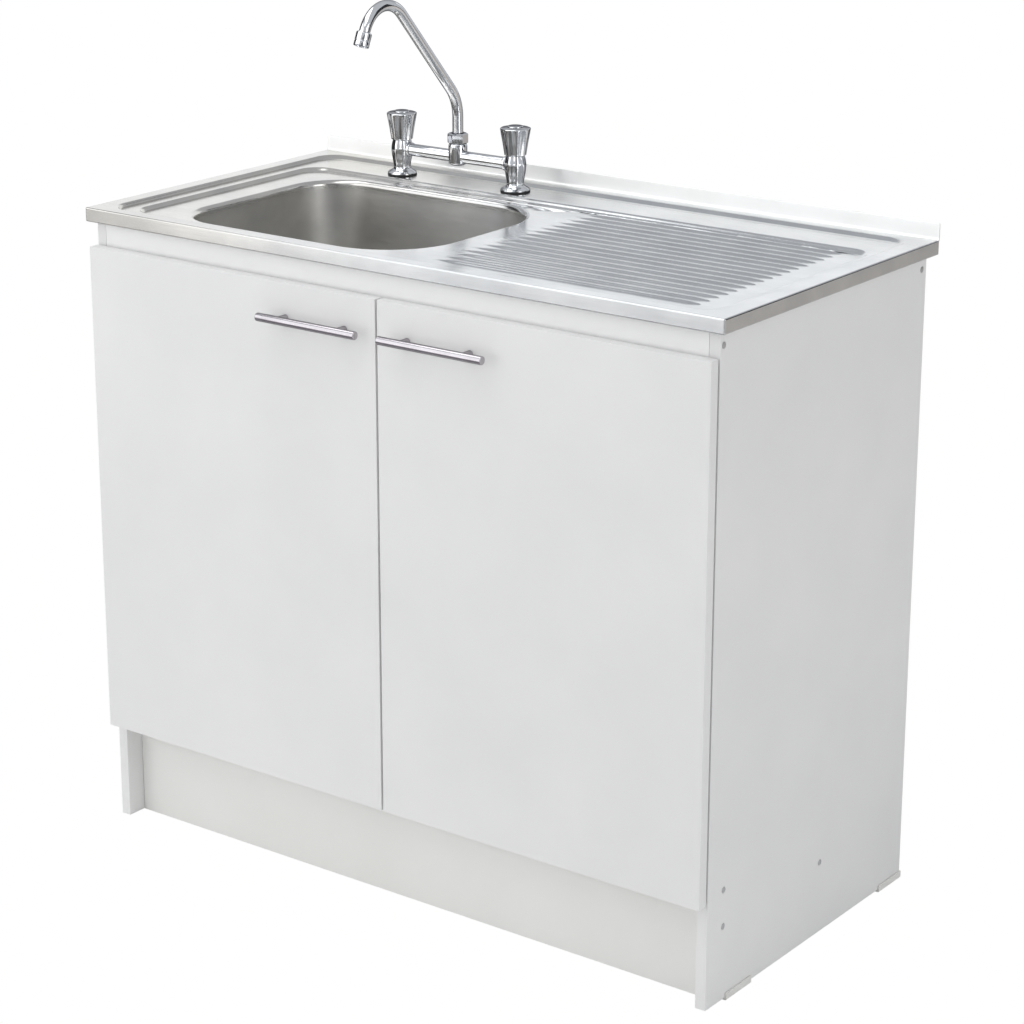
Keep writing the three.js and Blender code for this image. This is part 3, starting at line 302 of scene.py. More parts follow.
# %% Small finishes
zinc = surface("zinc_steel", ((0.50, 0.51, 0.53), (0.62, 0.63, 0.64)), (0.28, 0.42),
               metallic=1.0, tint_scale=(120, 120, 120), grain_bump=0.2)
rubber = surface("black_rubber", ((0.018, 0.018, 0.02), (0.035, 0.035, 0.038)), (0.55, 0.75),
                 tint_scale=(80, 80, 80), grain_bump=0.3)
brass = surface("turned_brass", ((0.62, 0.44, 0.18), (0.70, 0.52, 0.24)), (0.25, 0.38),
                metallic=1.0, tint_scale=(90, 90, 90), grain_bump=0.15)
plastic = surface("white_plastic", ((0.78, 0.78, 0.75), (0.84, 0.84, 0.81)), (0.38, 0.5),
                  tint_scale=(30, 30, 30), grain_scale=(500, 500, 500), grain_bump=0.2)
print("made", len(bpy.data.materials), "materials")

# %% [markdown]
# ## CAD nodes that stay
# A board's cut edge is never quite sharp, and a thin highlight along it tells the eye its size.
# The boards keep their CAD shape: a weld joins the split corners, and a bevel rounds the edges.
# Smooth shading could be set face by face, but the CAD meshes are left as they are, so a small
# geometry node group shades everything smooth below a set angle.

# %% Smooth shading by angle
def smooth_by_angle_group(angle):
    group = bpy.data.node_groups.new("smooth_by_angle", "GeometryNodeTree")
    group.interface.new_socket("Geometry", in_out="INPUT", socket_type="NodeSocketGeometry")
    group.interface.new_socket("Geometry", in_out="OUTPUT", socket_type="NodeSocketGeometry")
    group_in = group.nodes.new("NodeGroupInput")
    group_out = group.nodes.new("NodeGroupOutput")
    smooth = group.nodes.new("GeometryNodeSetShadeSmooth")
    sharpen = group.nodes.new("GeometryNodeSetShadeSmooth")
    sharpen.domain = "EDGE"
    sharpen.inputs["Shade Smooth"].default_value = False
    edge_angle = group.nodes.new("GeometryNodeInputMeshEdgeAngle")
    compare = group.nodes.new("FunctionNodeCompare")
    compare.operation = "GREATER_THAN"
    compare.inputs[1].default_value = angle
    group.links.new(group_in.outputs[0], smooth.inputs["Geometry"])
    group.links.new(smooth.outputs[0], sharpen.inputs["Geometry"])
    group.links.new(edge_angle.outputs["Unsigned Angle"], compare.inputs[0])
    group.links.new(compare.outputs[0], sharpen.inputs["Selection"])
    group.links.new(sharpen.outputs[0], group_out.inputs[0])
    return group


SHARP_DEGREES = 38
SMOOTH_BY_ANGLE = smooth_by_angle_group(math.radians(SHARP_DEGREES))
print("smooth below", SHARP_DEGREES, "degrees")

# %% Dress the CAD nodes
WELD_DISTANCE = 0.01 * MM
BEVEL_ABOVE = math.radians(50)
BOARD_EDGE = 0.6 * MM


def dress(name, material, edge_radius):
    """Gives a CAD node its material, rounded edges and smooth shading."""
    node = nodes[name]
    node.data.materials.clear()
    node.data.materials.append(material)
    weld = node.modifiers.new("weld", "WELD")
    weld.merge_threshold = WELD_DISTANCE
    if edge_radius:
        bevel = node.modifiers.new("rounded_edges", "BEVEL")
        bevel.width = edge_radius
        bevel.segments = 2
        bevel.limit_method = "ANGLE"
        bevel.angle_limit = BEVEL_ABOVE
    smooth = node.modifiers.new("smooth_by_angle", "NODES")
    smooth.node_group = SMOOTH_BY_ANGLE
    if edge_radius:
        flat = node.modifiers.new("flat_faces", "WEIGHTED_NORMAL")
        flat.keep_sharp = True


dressing = {
    "door_panel": (laminate, 0.9 * MM),
    "side_panel": (laminate, BOARD_EDGE),
    "front_top_rail": (rail_laminate_painted_bright, BOARD_EDGE),
    "rear_top_rail": (laminate, BOARD_EDGE),
    "bottom_panel": (laminate, BOARD_EDGE),
    "plinth_board": (warm_laminate, BOARD_EDGE),
    "lower_support_rail": (warm_laminate, BOARD_EDGE),
    "back_panel": (hardboard, 0.2 * MM),
    "hinge_cup": (zinc, 0.0),
    "hinge_arm": (zinc, 0.2 * MM),
    "hinge_plate": (zinc, 0.2 * MM),
    "screw": (zinc, 0.25 * MM),
    "glide": (plastic, 0.4 * MM),
    "waste_backnut": (plastic, 0.3 * MM),
    "trap": (plastic, 0.0),
    "tap_backnut": (brass, 0.4 * MM),
}
dressed = 0
for name in sorted(nodes):
    for part, (material, edge_radius) in dressing.items():
        if part in name:
            dress(name, material, edge_radius)
            dressed += 1
            break
print("dressed", dressed, "CAD nodes")

# %% [markdown]
# ## Helpers for the finer pieces
# Each piece is one mesh, made with bmesh in the model's frame, so its object stays at the origin.
# Once its shape is there, doubled vertices are merged and the faces are turned outwards.

# %% Finish a piece
MERGE_DISTANCE = 0.001 * MM


def finish_mesh(name, bm, material, replaced, body, sharp_degrees=SHARP_DEGREES):
    """Turns a bmesh into a piece that stands for CAD nodes and rides on a body."""
    bmesh.ops.remove_doubles(bm, verts=bm.verts, dist=MERGE_DISTANCE)
    bmesh.ops.recalc_face_normals(bm, faces=bm.faces)
    mesh = bpy.data.meshes.new(name)
    bm.to_mesh(mesh)
    bm.free()
    for polygon in mesh.polygons:
        polygon.use_smooth = True
    mesh.set_sharp_from_angle(angle=math.radians(sharp_degrees))
    mesh.materials.append(material)
    piece = bpy.data.objects.new(name, mesh)
    scene.collection.objects.link(piece)
    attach(piece, body)
    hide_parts(*replaced)
    print(name, len(mesh.polygons), "faces")
    return piece


print("pieces are merged within", MERGE_DISTANCE, "m")

# %% [markdown]
# ## Rings and bridges
# A shape that is neither turned nor a box, such as a fluted knob or a bent tube, is drawn as rings
# and bridged: `bridge_loops` lays quads between each ring and the next.

# %% Rings
def add_verts(bm, points):
    return [bm.verts.new(point) for point in points]


def draw_ring(bm, points, closed=True):
    """The edges through new vertices at the points."""
    verts = add_verts(bm, points)
    following = verts[1:] + verts[:1] if closed else verts[1:]
    return [bm.edges.new(pair) for pair in zip(verts, following)]


def draw_circle(bm, radius, sides, place):
    """The edges of a circle round the Z axis of a place, each once and in a fixed order."""
    made = bmesh.ops.create_circle(bm, segments=sides, radius=radius, matrix=place)
    return list(dict.fromkeys(edge for vert in made["verts"] for edge in vert.link_edges))


def bridge_rings(bm, rings):
    """Quads between neighbouring rings, and a face over each end."""
    for first, second in zip(rings, rings[1:]):
        bmesh.ops.bridge_loops(bm, edges=first + second)
    for end in (rings[0], rings[-1]):
        bmesh.ops.edgeloop_fill(bm, edges=end)


print("rings are drawn, bridged and capped")

# %% [markdown]
# ## Turned parts
# Tap bodies, bars and the waste are turned on a lathe. `spin` does the same: it carries a profile
# round an axis. A turned edge is always broken, so `rounded` softens the profile's corners first.

# %% Turned parts
ROUNDING_REACH = 0.45  # the most of a profile's side that a rounded corner may use


def millimetres(rows):
    return [tuple(value * MM for value in row) for row in rows]


def spin_profile(bm, profile, sides, place, closed=False):
    """Spins (radius, height) pairs round the Z axis of a place, and closes the poles."""
    points = [place @ Vector((radius, 0, height)) for radius, height in profile]
    edges = draw_ring(bm, points, closed)
    verts = list(dict.fromkeys(vert for edge in edges for vert in edge.verts))
    bmesh.ops.spin(bm, geom=verts + edges, cent=place.translation, axis=place.col[2].xyz,
                   angle=math.tau, steps=sides, use_merge=True)
    bmesh.ops.remove_doubles(bm, verts=bm.verts, dist=WELD_DISTANCE)


def rounded(profile, radius=0.3 * MM, steps=3):
    """The same profile with its corners rounded off."""
    result = [profile[0]]
    for i in range(1, len(profile) - 1):
        before, at, after = (Vector(profile[k]) for k in (i - 1, i, i + 1))
        reach = min(radius, (before - at).length * ROUNDING_REACH,
                    (after - at).length * ROUNDING_REACH)
        start = at + (before - at).normalized() * reach
        end = at + (after - at).normalized() * reach
        for step in range(steps + 1):
            share = step / steps
            result.append(tuple(start.lerp(at, share).lerp(at.lerp(end, share), share)))
    result.append(profile[-1])
    return result


print("a rounded corner reaches", 0.3 * MM, "m unless a piece asks for more")

# %% [markdown]
# ## The pressed sink top
# The real top is one steel sheet, pressed in a die. It could be cut from a block or subdivided
# from a coarse cage, but a pressing is easiest to read as nested outlines, from the lip inwards:
# the two shallow steps, the flat floor with the drainer's ribs, and the bowl. The outlines have
# the CAD's sizes.

# %% Outlines of the sheet
TOP_Z, STEP = 0.875, 4.5 * MM
LEDGE_Z, FLOOR_Z = TOP_Z - STEP, TOP_Z - 2 * STEP
SHEET = 0.9 * MM
HALF_WIDTH, DEPTH = 0.5, 0.5
LIP, LIP_RETURN, LIP_BEND, LIP_HEM = 19 * MM, 7 * MM, 2 * MM, 1.6 * MM
CORNER_MIN = 0.3 * MM
UPSTAND_THICKNESS = 1.8 * MM
CORNER_STEPS = 14
TAP_X, TAP_Y = -0.216, 0.44 + FRONT_EDGE_Y
TAP_SPACING, TAP_HOLE, TAP_HOLE_SIDES = 0.197, 0.011, 24


def area(left, right, front, back, left_radius, right_radius):
    return dict(left=left * MM, right=right * MM, front=front * MM, back=back * MM,
                left_radius=left_radius * MM, right_radius=right_radius * MM)


def inset(shape, distance):
    return dict(
        left=shape["left"] + distance, right=shape["right"] - distance,
        front=shape["front"] + distance, back=shape["back"] - distance,
        left_radius=max(shape["left_radius"] - distance, MM),
        right_radius=max(shape["right_radius"] - distance, MM))


def between(first, second, share):
    return {key: first[key] + (second[key] - first[key]) * share for key in first}


def outline(shape, z):
    """Points round a rectangle with rounded corners, counter-clockwise from the front right."""
    left_r, right_r = shape["left_radius"], shape["right_radius"]
    corners = (
        (shape["right"] - right_r, shape["front"] + right_r, right_r, -90),
        (shape["right"] - right_r, shape["back"] - right_r, right_r, 0),
        (shape["left"] + left_r, shape["back"] - left_r, left_r, 90),
        (shape["left"] + left_r, shape["front"] + left_r, left_r, 180),
    )
    points = []
    for x, y, radius, start in corners:
        for step in range(CORNER_STEPS + 1):
            turn = math.radians(start + 90 * step / CORNER_STEPS)
            points.append(Vector((x + radius * math.cos(turn),
                                  y + radius * math.sin(turn) + FRONT_EDGE_Y, z)))
    return points


def smoothstep(share):
    return share * share * (3 - 2 * share)


print("the top is", 2 * HALF_WIDTH, "by", DEPTH, "m and", TOP_Z, "m high")

# %% [markdown]
# ## The two steps and the bowl
# A press can't fold steel sharply, so each step eases in and out, and the bowl has a rolled rim,
# leaning walls and a large fillet at its foot. Its floor falls a little towards the waste.

# %% Steps and bowl
OUTER_RIM = area(-479, 476, 16, 488, 34, 34)
OUTER_FLOOR = area(-473, 470, 22, 462, 34, 34)
INNER_RIM = area(-455, 462, 34, 416, 30, 30)
INNER_FLOOR = area(-447, 454, 42, 398, 30, 30)
BOWL = area(-406, -2, 52, 389, 78, 108)
BOWL_DEPTH, BOWL_FALL = 150 * MM, 3 * MM
BOWL_RIM, BOWL_FILLET = 7 * MM, 34 * MM
WALL_ANGLE, FLOOR_ANGLE = math.radians(86), math.radians(1)
WASTE_X, WASTE_Y = -0.204, 0.2205 + FRONT_EDGE_Y
BOWL_BOTTOM_Z = FLOOR_Z - BOWL_DEPTH - BOWL_FALL
RIM_STEPS, FILLET_STEPS = 8, 12
STEP_RINGS, DROP_START, DROP_SHARE = 12, 0.2, 0.55
WASTE_RINGS = ((0.0359, 1.0), (0.0345, 1.02), (0.023, 1.02))  # radius, share of the floor's fall
NEARLY_ROUND = 0.999  # keeps a circle's four corners from meeting in doubled points


def clamp(share):
    return max(0.0, min(1.0, share))


def step_rings(bm, rim, floor, z):
    """A pressed step down; most of its drop lies in the middle of its width."""
    rings = []
    for i in range(STEP_RINGS + 1):
        share = i / STEP_RINGS
        drop = STEP * smoothstep(clamp((share - DROP_START) / DROP_SHARE))
        rings.append(add_verts(bm, outline(between(rim, floor, share), z - drop)))
    return rings


def waste_circle(radius):
    """A circle round the waste as an outline, with as many points as the bowl's outlines."""
    middle_y = WASTE_Y - FRONT_EDGE_Y
    return dict(left=WASTE_X - radius, right=WASTE_X + radius,
                front=middle_y - radius, back=middle_y + radius,
                left_radius=radius * NEARLY_ROUND, right_radius=radius * NEARLY_ROUND)


def bowl_rings(bm):
    """The rolled rim, the leaning wall, the bottom fillet and the floor down to the waste."""
    levels = []
    for i in range(RIM_STEPS + 1):
        turn = WALL_ANGLE * i / RIM_STEPS
        levels.append((BOWL_RIM * math.sin(turn), BOWL_RIM * (1 - math.cos(turn))))
    fillet_drop = BOWL_FILLET * (math.cos(FLOOR_ANGLE) - math.cos(WALL_ANGLE))
    rim_drop = levels[-1][1]
    wall_drop = BOWL_DEPTH - rim_drop - fillet_drop
    wall_foot = levels[-1][0] + wall_drop / math.tan(WALL_ANGLE)
    wall_top = levels[-1][0]
    for share in (0.05, 0.5, 0.95):
        levels.append((wall_top + (wall_foot - wall_top) * share, rim_drop + wall_drop * share))
    for i in range(FILLET_STEPS + 1):
        turn = WALL_ANGLE + (FLOOR_ANGLE - WALL_ANGLE) * i / FILLET_STEPS
        levels.append((
            wall_foot + BOWL_FILLET * (math.sin(WALL_ANGLE) - math.sin(turn)),
            rim_drop + wall_drop + BOWL_FILLET * (math.cos(turn) - math.cos(WALL_ANGLE))))
    rings = [add_verts(bm, outline(inset(BOWL, across), FLOOR_Z - down))
             for across, down in levels]
    halfway = between(inset(BOWL, levels[-1][0]), waste_circle(WASTE_RINGS[0][0]), 0.5)
    rings.append(add_verts(bm, outline(halfway, FLOOR_Z - BOWL_DEPTH - BOWL_FALL * 0.5)))
    for radius, share in WASTE_RINGS:
        rings.append(add_verts(bm, outline(waste_circle(radius),
                                           FLOOR_Z - BOWL_DEPTH - BOWL_FALL * share)))
    return rings


def lay_quads(bm, rings, closed=True):
    """Quads between neighbouring rows of vertices.

    bridge_loops twists rings that lie almost in one plane, as those of a shallow step do, so the
    sheet's quads are laid by hand.
    """
    count = len(rings[0])
    last = count if closed else count - 1
    for first, second in zip(rings, rings[1:]):
        for i in range(last):
            j = (i + 1) % count
            bm.faces.new((first[i], first[j], second[j], second[i]))


print("the bowl's bottom is at", round(BOWL_BOTTOM_Z, 4), "m")

# %% [markdown]
# ## The ribbed drainer
# Seventeen ribs stiffen the drainer and let water run to the bowl. Each rises slowly at the bowl
# and ends in a point at the right. A fine grid, lifted by one height function, keeps every rib
# the same and its sides smooth. One fault is left: the grid's back edge lies 2.5 mm past the
# floor's outline, so flat faces overlap there.

# %% The ribbed drainer
RIBS, RIB_PITCH, RIB_HALF, RIB_HEIGHT = 17, 0.020, 0.0068, 0.0026
RIB_LEFT, RIB_RIGHT, RIB_RUN_OUT, RIB_POINT = 0.024, 0.422, 0.046, 0.020
RIB_MIDDLE_Y = WASTE_Y + RIB_PITCH / 2
RIB_START_WIDTH, RIB_FULL_WIDTH, RIB_BELL = 0.45, 0.55, 0.8
GRID_COLUMNS, ROWS_PER_RIB, GRID_MARGIN = 96, 12, 0.004
CROWDING, CROWDING_EASE = 0.09, 1.2  # the grid's columns crowd towards the ends of the ribs


def rib_height(x, y):
    """Height of the drainer's surface over its flat floor."""
    nearest = round((y - RIB_MIDDLE_Y) / RIB_PITCH)
    nearest = max(-(RIBS // 2), min(RIBS // 2, nearest))
    offset = abs(y - RIB_MIDDLE_Y - nearest * RIB_PITCH)
    fade_in = smoothstep(clamp((x - RIB_LEFT) / RIB_RUN_OUT))
    to_point = clamp((RIB_RIGHT - x) / RIB_POINT)
    half = RIB_HALF * math.sqrt(to_point) * (RIB_START_WIDTH + RIB_FULL_WIDTH * fade_in)
    if half <= 0 or offset >= half:
        return 0.0
    bell = 0.5 + 0.5 * math.cos(math.pi * offset / half)
    return RIB_HEIGHT * fade_in * math.sqrt(to_point) * bell ** RIB_BELL


def drainer_grid(bm):
    """A fine grid over the ribs; returns its border vertices in order."""
    x_low, x_high = RIB_LEFT - GRID_MARGIN, RIB_RIGHT + GRID_MARGIN
    y_low = RIB_MIDDLE_Y - (RIBS / 2) * RIB_PITCH
    grid = []
    for row in range(RIBS * ROWS_PER_RIB + 1):
        y = y_low + RIB_PITCH * row / ROWS_PER_RIB
        line = []
        for column in range(GRID_COLUMNS + 1):
            share = column / GRID_COLUMNS
            share = share - CROWDING * math.sin(math.tau * share) / CROWDING_EASE
            x = x_low + (x_high - x_low) * share
            line.append(bm.verts.new((x, y, FLOOR_Z + rib_height(x, y))))
        grid.append(line)
    lay_quads(bm, grid, closed=False)
    border = grid[0] + [line[-1] for line in grid[1:]]
    border += grid[-1][-2::-1] + [line[0] for line in grid[-2:0:-1]]
    return border


print(RIBS, "ribs on a pitch of", RIB_PITCH, "m")

# %% [markdown]
# ## The sheet itself
# The lip is folded down along the front and the sides, with a small hem at its foot. The flat
# parts between the outlines are filled with triangles. A Solidify modifier then gives the sheet
# its thickness, so only its upper side has to be drawn.

# %% Build the sheet
def fill_flat(bm, *rings):
    """Fills the flat space between an outer ring of vertices and the rings inside it."""
    edges = []
    for ring in rings:
        for pair in zip(ring, ring[1:] + ring[:1]):
            edges.append(bm.edges.get(pair) or bm.edges.new(pair))
    bmesh.ops.triangle_fill(bm, use_beauty=True, use_dissolve=False, edges=edges,
                            normal=(0, 0, 1))


def lip_path(offset, drop):
    """The sheet's free edge from the back left round the front to the back right."""
    corner = max(offset, CORNER_MIN)
    setting = LIP_BEND + corner - offset
    left, right = -HALF_WIDTH + setting, HALF_WIDTH - setting
    front, back = FRONT_EDGE_Y + setting, FRONT_EDGE_Y + DEPTH - UPSTAND_THICKNESS
    points = [Vector((left - corner, back, TOP_Z - drop))]
    for x, start in ((left, 180), (right, 270)):
        for step in range(7):
            turn = math.radians(start + 15 * step)
            points.append(Vector((x + corner * math.cos(turn),
                                  front + corner * math.sin(turn), TOP_Z - drop)))
    points.append(Vector((right + corner, back, TOP_Z - drop)))
    return points


def lip_levels():
    """(offset, drop) pairs down the lip: its bend, its hem and the return under it."""
    levels = []
    for degrees in range(0, 91, 15):
        turn = math.radians(degrees)
        levels.append((LIP_BEND * math.sin(turn), LIP_BEND * (1 - math.cos(turn))))
    for degrees in range(0, 91, 18):
        turn = math.radians(degrees)
        levels.append((LIP_BEND - LIP_HEM * (1 - math.cos(turn)),
                       LIP - LIP_HEM + LIP_HEM * math.sin(turn)))
    levels.append((LIP_BEND - LIP_RETURN, LIP))
    return levels


def tap_hole(bm, centre_x):
    """The ring of a hole through the ledge."""
    turns = [math.tau * i / TAP_HOLE_SIDES for i in range(TAP_HOLE_SIDES)]
    return add_verts(bm, [(centre_x + TAP_HOLE * math.cos(turn), TAP_Y + TAP_HOLE * math.sin(turn),
                           LEDGE_Z) for turn in turns])


def sink_sheet():
    bm = bmesh.new()
    lip = [add_verts(bm, lip_path(*level)) for level in lip_levels()]
    lay_quads(bm, lip, closed=False)
    rim = step_rings(bm, OUTER_RIM, OUTER_FLOOR, TOP_Z)
    inner = step_rings(bm, INNER_RIM, INNER_FLOOR, LEDGE_Z)
    bowl = bowl_rings(bm)
    for rings in (rim, inner, bowl):
        lay_quads(bm, rings)
    fill_flat(bm, lip[0], rim[0])
    holes = [tap_hole(bm, TAP_X + side * TAP_SPACING / 2) for side in (-1, 1)]
    fill_flat(bm, rim[-1], inner[0], *holes)
    fill_flat(bm, inner[-1], bowl[0], drainer_grid(bm))
    return bm


top = finish_mesh("sink_sheet", sink_sheet(), steel, ["sink_top"], "cabinet", 50)
thickness = top.modifiers.new("sheet_thickness", "SOLIDIFY")
thickness.thickness = SHEET
thickness.offset = -1
flat_top = top.modifiers.new("flat_faces", "WEIGHTED_NORMAL")
flat_top.keep_sharp = True

# %% [markdown]
# ## The upstand
# The back edge rises to keep water off the wall, and its top is folded over. One profile, bridged
# from end to end, is enough. It shows almost white in the photograph, so its steel is painted
# light: brighter and less metallic than the deck's, standing in for the light it mirrors.

# %% Upstand
UPSTAND_TOP_Z, UPSTAND_FOOT = TOP_Z + 21 * MM, 3 * MM


def upstand():
    """The raised back edge with its folded rim, as a profile drawn along X."""
    bm = bmesh.new()
    back = FRONT_EDGE_Y + DEPTH
    thick, top_z, foot = UPSTAND_THICKNESS, UPSTAND_TOP_Z, UPSTAND_FOOT
    profile = [(back - thick - foot, TOP_Z)]
    for degrees in range(15, 91, 15):
        turn = math.radians(degrees)
        profile.append((back - thick - foot + foot * math.sin(turn),
                        TOP_Z + foot * (1 - math.cos(turn))))
    for degrees in range(0, 181, 20):
        turn = math.radians(degrees)
        profile.append((back - thick / 2 - thick / 2 * math.cos(turn),
                        top_z - thick / 2 + thick / 2 * math.sin(turn)))
    profile += [(back, TOP_Z - SHEET), (back - thick - foot, TOP_Z - SHEET)]
    bridge_rings(bm, [draw_ring(bm, [(x, y, z) for y, z in profile])
                      for x in (-HALF_WIDTH, HALF_WIDTH)])
    return bm


rise = finish_mesh("sink_upstand", upstand(), upstand_steel_painted_bright, ["sink_top"], "cabinet")

# %% [markdown]
# ## The bridge mixer tap
# Two pillars carry the knobs, and a bridge between them carries the spout. Pillars and knobs are
# fluted castings, which no lathe makes: their rings carry a shallow wave, and smooth curves run
# through a few measured sections. Everything stands where the CAD says.

# %% Fluted castings
FLUTES = 8


def fluted(bm, sections, centre, per_flute=8):
    """A solid through (height, radius, flute depth) sections about an upright axis."""
    rings = []
    count = FLUTES * per_flute
    for height, radius, depth in sections:
        points = []
        for i in range(count):
            turn = math.tau * i / count
            reach = radius - depth * (0.5 - 0.5 * math.cos(turn * FLUTES))
            points.append(centre + Vector((reach * math.cos(turn), reach * math.sin(turn), height)))
        rings.append(draw_ring(bm, points))
    bridge_rings(bm, rings)


def smooth_sections(sections, steps=4):
    """Catmull-Rom values between the given sections."""
    result = []
    last = len(sections) - 1
    for i in range(last):
        quad = [sections[max(i - 1, 0)], sections[i], sections[i + 1], sections[min(i + 2, last)]]
        for step in range(steps):
            t = step / steps
            result.append(tuple(
                0.5 * (2 * b + (c - a) * t + (2 * a - 5 * b + 4 * c - d) * t * t
                       + (3 * b - a - 3 * c + d) * t ** 3)
                for a, b, c, d in zip(*quad)))
    result.append(sections[-1])
    return result


print(FLUTES, "flutes round each casting")

# %% Pillars, gaskets and knobs
FOOT_Z = 1.7  # the pillar's foot over the ledge, in millimetres, as are the rows below
FOOT_ROWS = [(FOOT_Z, 19.6, 0), (FOOT_Z + 0.5, 20.2, 0), (FOOT_Z + 1.6, 20.3, 0)]
PILLAR_ROWS = smooth_sections([
    (FOOT_Z + 1.6, 20.3, 0), (FOOT_Z + 4, 17.2, 0), (FOOT_Z + 6.5, 13.2, 0.4),
    (FOOT_Z + 11, 12, 0.8), (23, 13.6, 1.0), (34, 15, 1.0), (42, 14.6, 1.0),
    (48, 13.2, 1.0), (49.6, 12.6, 0.8)])
KNOB_ROWS = smooth_sections([
    (50, 14.2, 0.6), (50.5, 15.1, 1.2), (52.5, 15.4, 1.5), (66, 17.5, 1.7), (80, 20.1, 1.5),
    (85.6, 21, 1.2), (86.8, 20.8, 0.8), (87.6, 19.2, 0.3), (88.3, 15, 0), (88.7, 12, 0)], 3)
THREAD = [(0, -45), (10, -45), (10, FOOT_Z + 2), (0, FOOT_Z + 2)]
GASKET = [(0, 0.2), (20.5, 0.2), (20.5, 1.5), (0, 1.5)]
KNOB_DISC = [(0, 87), (11, 87), (11, 89.5), (9.6, 90.2), (0, 90.4)]
KNOB_STEM = [(0, 30), (5, 30), (5, 60), (0, 60)]

for side, side_name, water in ((-1, "left", "hot"), (1, "right", "cold")):
    stand = Vector((TAP_X + side * TAP_SPACING / 2, TAP_Y, LEDGE_Z))
    place = Matrix.Translation(stand)
    bm = bmesh.new()
    fluted(bm, millimetres(FOOT_ROWS + PILLAR_ROWS[1:]), stand)
    spin_profile(bm, rounded(millimetres(THREAD)), 32, place)
    piece = finish_mesh(f"{side_name}_pillar", bm, chrome, [f"{side_name}_tap_pillar"], "cabinet")
    bm = bmesh.new()
    spin_profile(bm, rounded(millimetres(GASKET)), 48, place)
    piece = finish_mesh(f"{side_name}_gasket", bm, rubber, [f"{side_name}_tap_gasket"], "cabinet")
    bm = bmesh.new()
    fluted(bm, millimetres(KNOB_ROWS), stand, 10)
    spin_profile(bm, rounded(millimetres(KNOB_DISC)), 40, place)
    spin_profile(bm, millimetres(KNOB_STEM), 24, place)
    piece = finish_mesh(f"{water}_knob_casting", bm, chrome, [f"{water}_knob"], f"{water}_knob")

# %% [markdown]
# ## The bridge
# The bridge is a plain tube with a collar near each pillar and a hub in the middle. Each is a
# turned part, laid along X or stood upright, and they simply overlap inside one mesh.

# %% Bridge
BRIDGE_Z = 36.5 * MM
COLLAR_X = 83 * MM
BRIDGE_TUBE = [(0, -89.5), (8.5, -89.5), (8.5, 89.5), (0, 89.5)]
COLLAR = [(0, -2), (10, -2), (10, 2), (0, 2)]
HUB = [(0, 24.5), (8, 24.5), (13, 27.5), (13, 52), (12, 55), (10, 55), (10, 59), (0, 59)]

hub = Vector((TAP_X, TAP_Y, LEDGE_Z))
along_x = Matrix.Rotation(math.pi / 2, 4, "Y")
bm = bmesh.new()
spin_profile(bm, millimetres(BRIDGE_TUBE), 40,
             Matrix.Translation(hub + Vector((0, 0, BRIDGE_Z))) @ along_x)
for side in (-1, 1):
    place = Matrix.Translation(hub + Vector((side * COLLAR_X, 0, BRIDGE_Z))) @ along_x
    spin_profile(bm, rounded(millimetres(COLLAR), 0.8 * MM), 40, place)
spin_profile(bm, rounded(millimetres(HUB), 1.2 * MM, 4), 48, Matrix.Translation(hub))
piece = finish_mesh("bridge_casting", bm, chrome, ["tap_bridge"], "cabinet")

# %% [markdown]
# ## The hexagon nut
# The nut under the spout is a six-sided prism with chamfered ends. Each corner has two points
# beside it, a few degrees away, so that it is softened a little and still catches the light.

# %% Hexagon nut
NUT_TURN, CORNER_NUDGE, CORNER_EASE = 34, 4, 0.996
NUT_ROWS = ((55.3, 11.4), (56.2, 12.45), (67.9, 12.45), (69.3, 11.0))  # height, half across flats


def hexagon(across, height):
    """Points round a hexagon with softened corners, about the hub."""
    flat = across * MM
    radius = flat / math.cos(math.radians(30))
    points = []
    for i in range(6):
        for nudge in (-CORNER_NUDGE, 0, CORNER_NUDGE):
            turn = math.radians(60 * i + NUT_TURN + nudge)
            reach = min(radius, flat / math.cos(math.radians(30 - abs(nudge))) * CORNER_EASE)
            points.append(hub + Vector((reach * math.cos(turn), reach * math.sin(turn),
                                        height * MM)))
    return points


bm = bmesh.new()
bridge_rings(bm, [draw_ring(bm, hexagon(across, height)) for height, across in NUT_ROWS])
piece = finish_mesh("spout_hex_nut", bm, chrome, ["spout_nut"], "cabinet", 25)

# %% [markdown]
# ## The spout
# A bent tube leaves the hub upright, leans forward through a wide bend, runs straight and turns
# down over the bowl. A bevelled curve could make it, but circles set along the centre line and
# bridged give a closed mesh at once. The aerator at its end is a turned part along the tip.

# %% Spout and aerator
SLOPE, TIP = math.radians(47.4), math.radians(-67)
SPOUT_RADIUS = 7.5 * MM
AERATOR = [
    (0, -13.5), (8.2, -13.5), (9.7, -13), (10.5, -11.6), (10.5, -2), (10.1, -1.6), (10.1, -0.8),
    (10.5, -0.4), (10.5, 5.5), (8.9, 5.5), (8.9, 3.5), (0, 3.5)]


def spout_path():
    """Centre line of the spout as (reach, height) pairs, in metres."""
    points = [(0.0, 0.060), (0.0, 0.0914)]

    def arc(radius, start, end, steps):
        x0, z0 = points[-1]
        for i in range(1, steps + 1):
            turn = start + (end - start) * i / steps
            points.append((x0 + radius * (math.sin(start) - math.sin(turn)),
                           z0 + radius * (math.cos(turn) - math.cos(start))))

    def run(length, angle, steps=1):
        x0, z0 = points[-1]
        for i in range(1, steps + 1):
            step = length * i / steps
            points.append((x0 + step * math.cos(angle), z0 + step * math.sin(angle)))

    arc(0.061, math.pi / 2, SLOPE, 14)
    run(0.155, SLOPE, 4)
    arc(0.0466, SLOPE, TIP, 32)
    run(0.015, TIP)
    return points


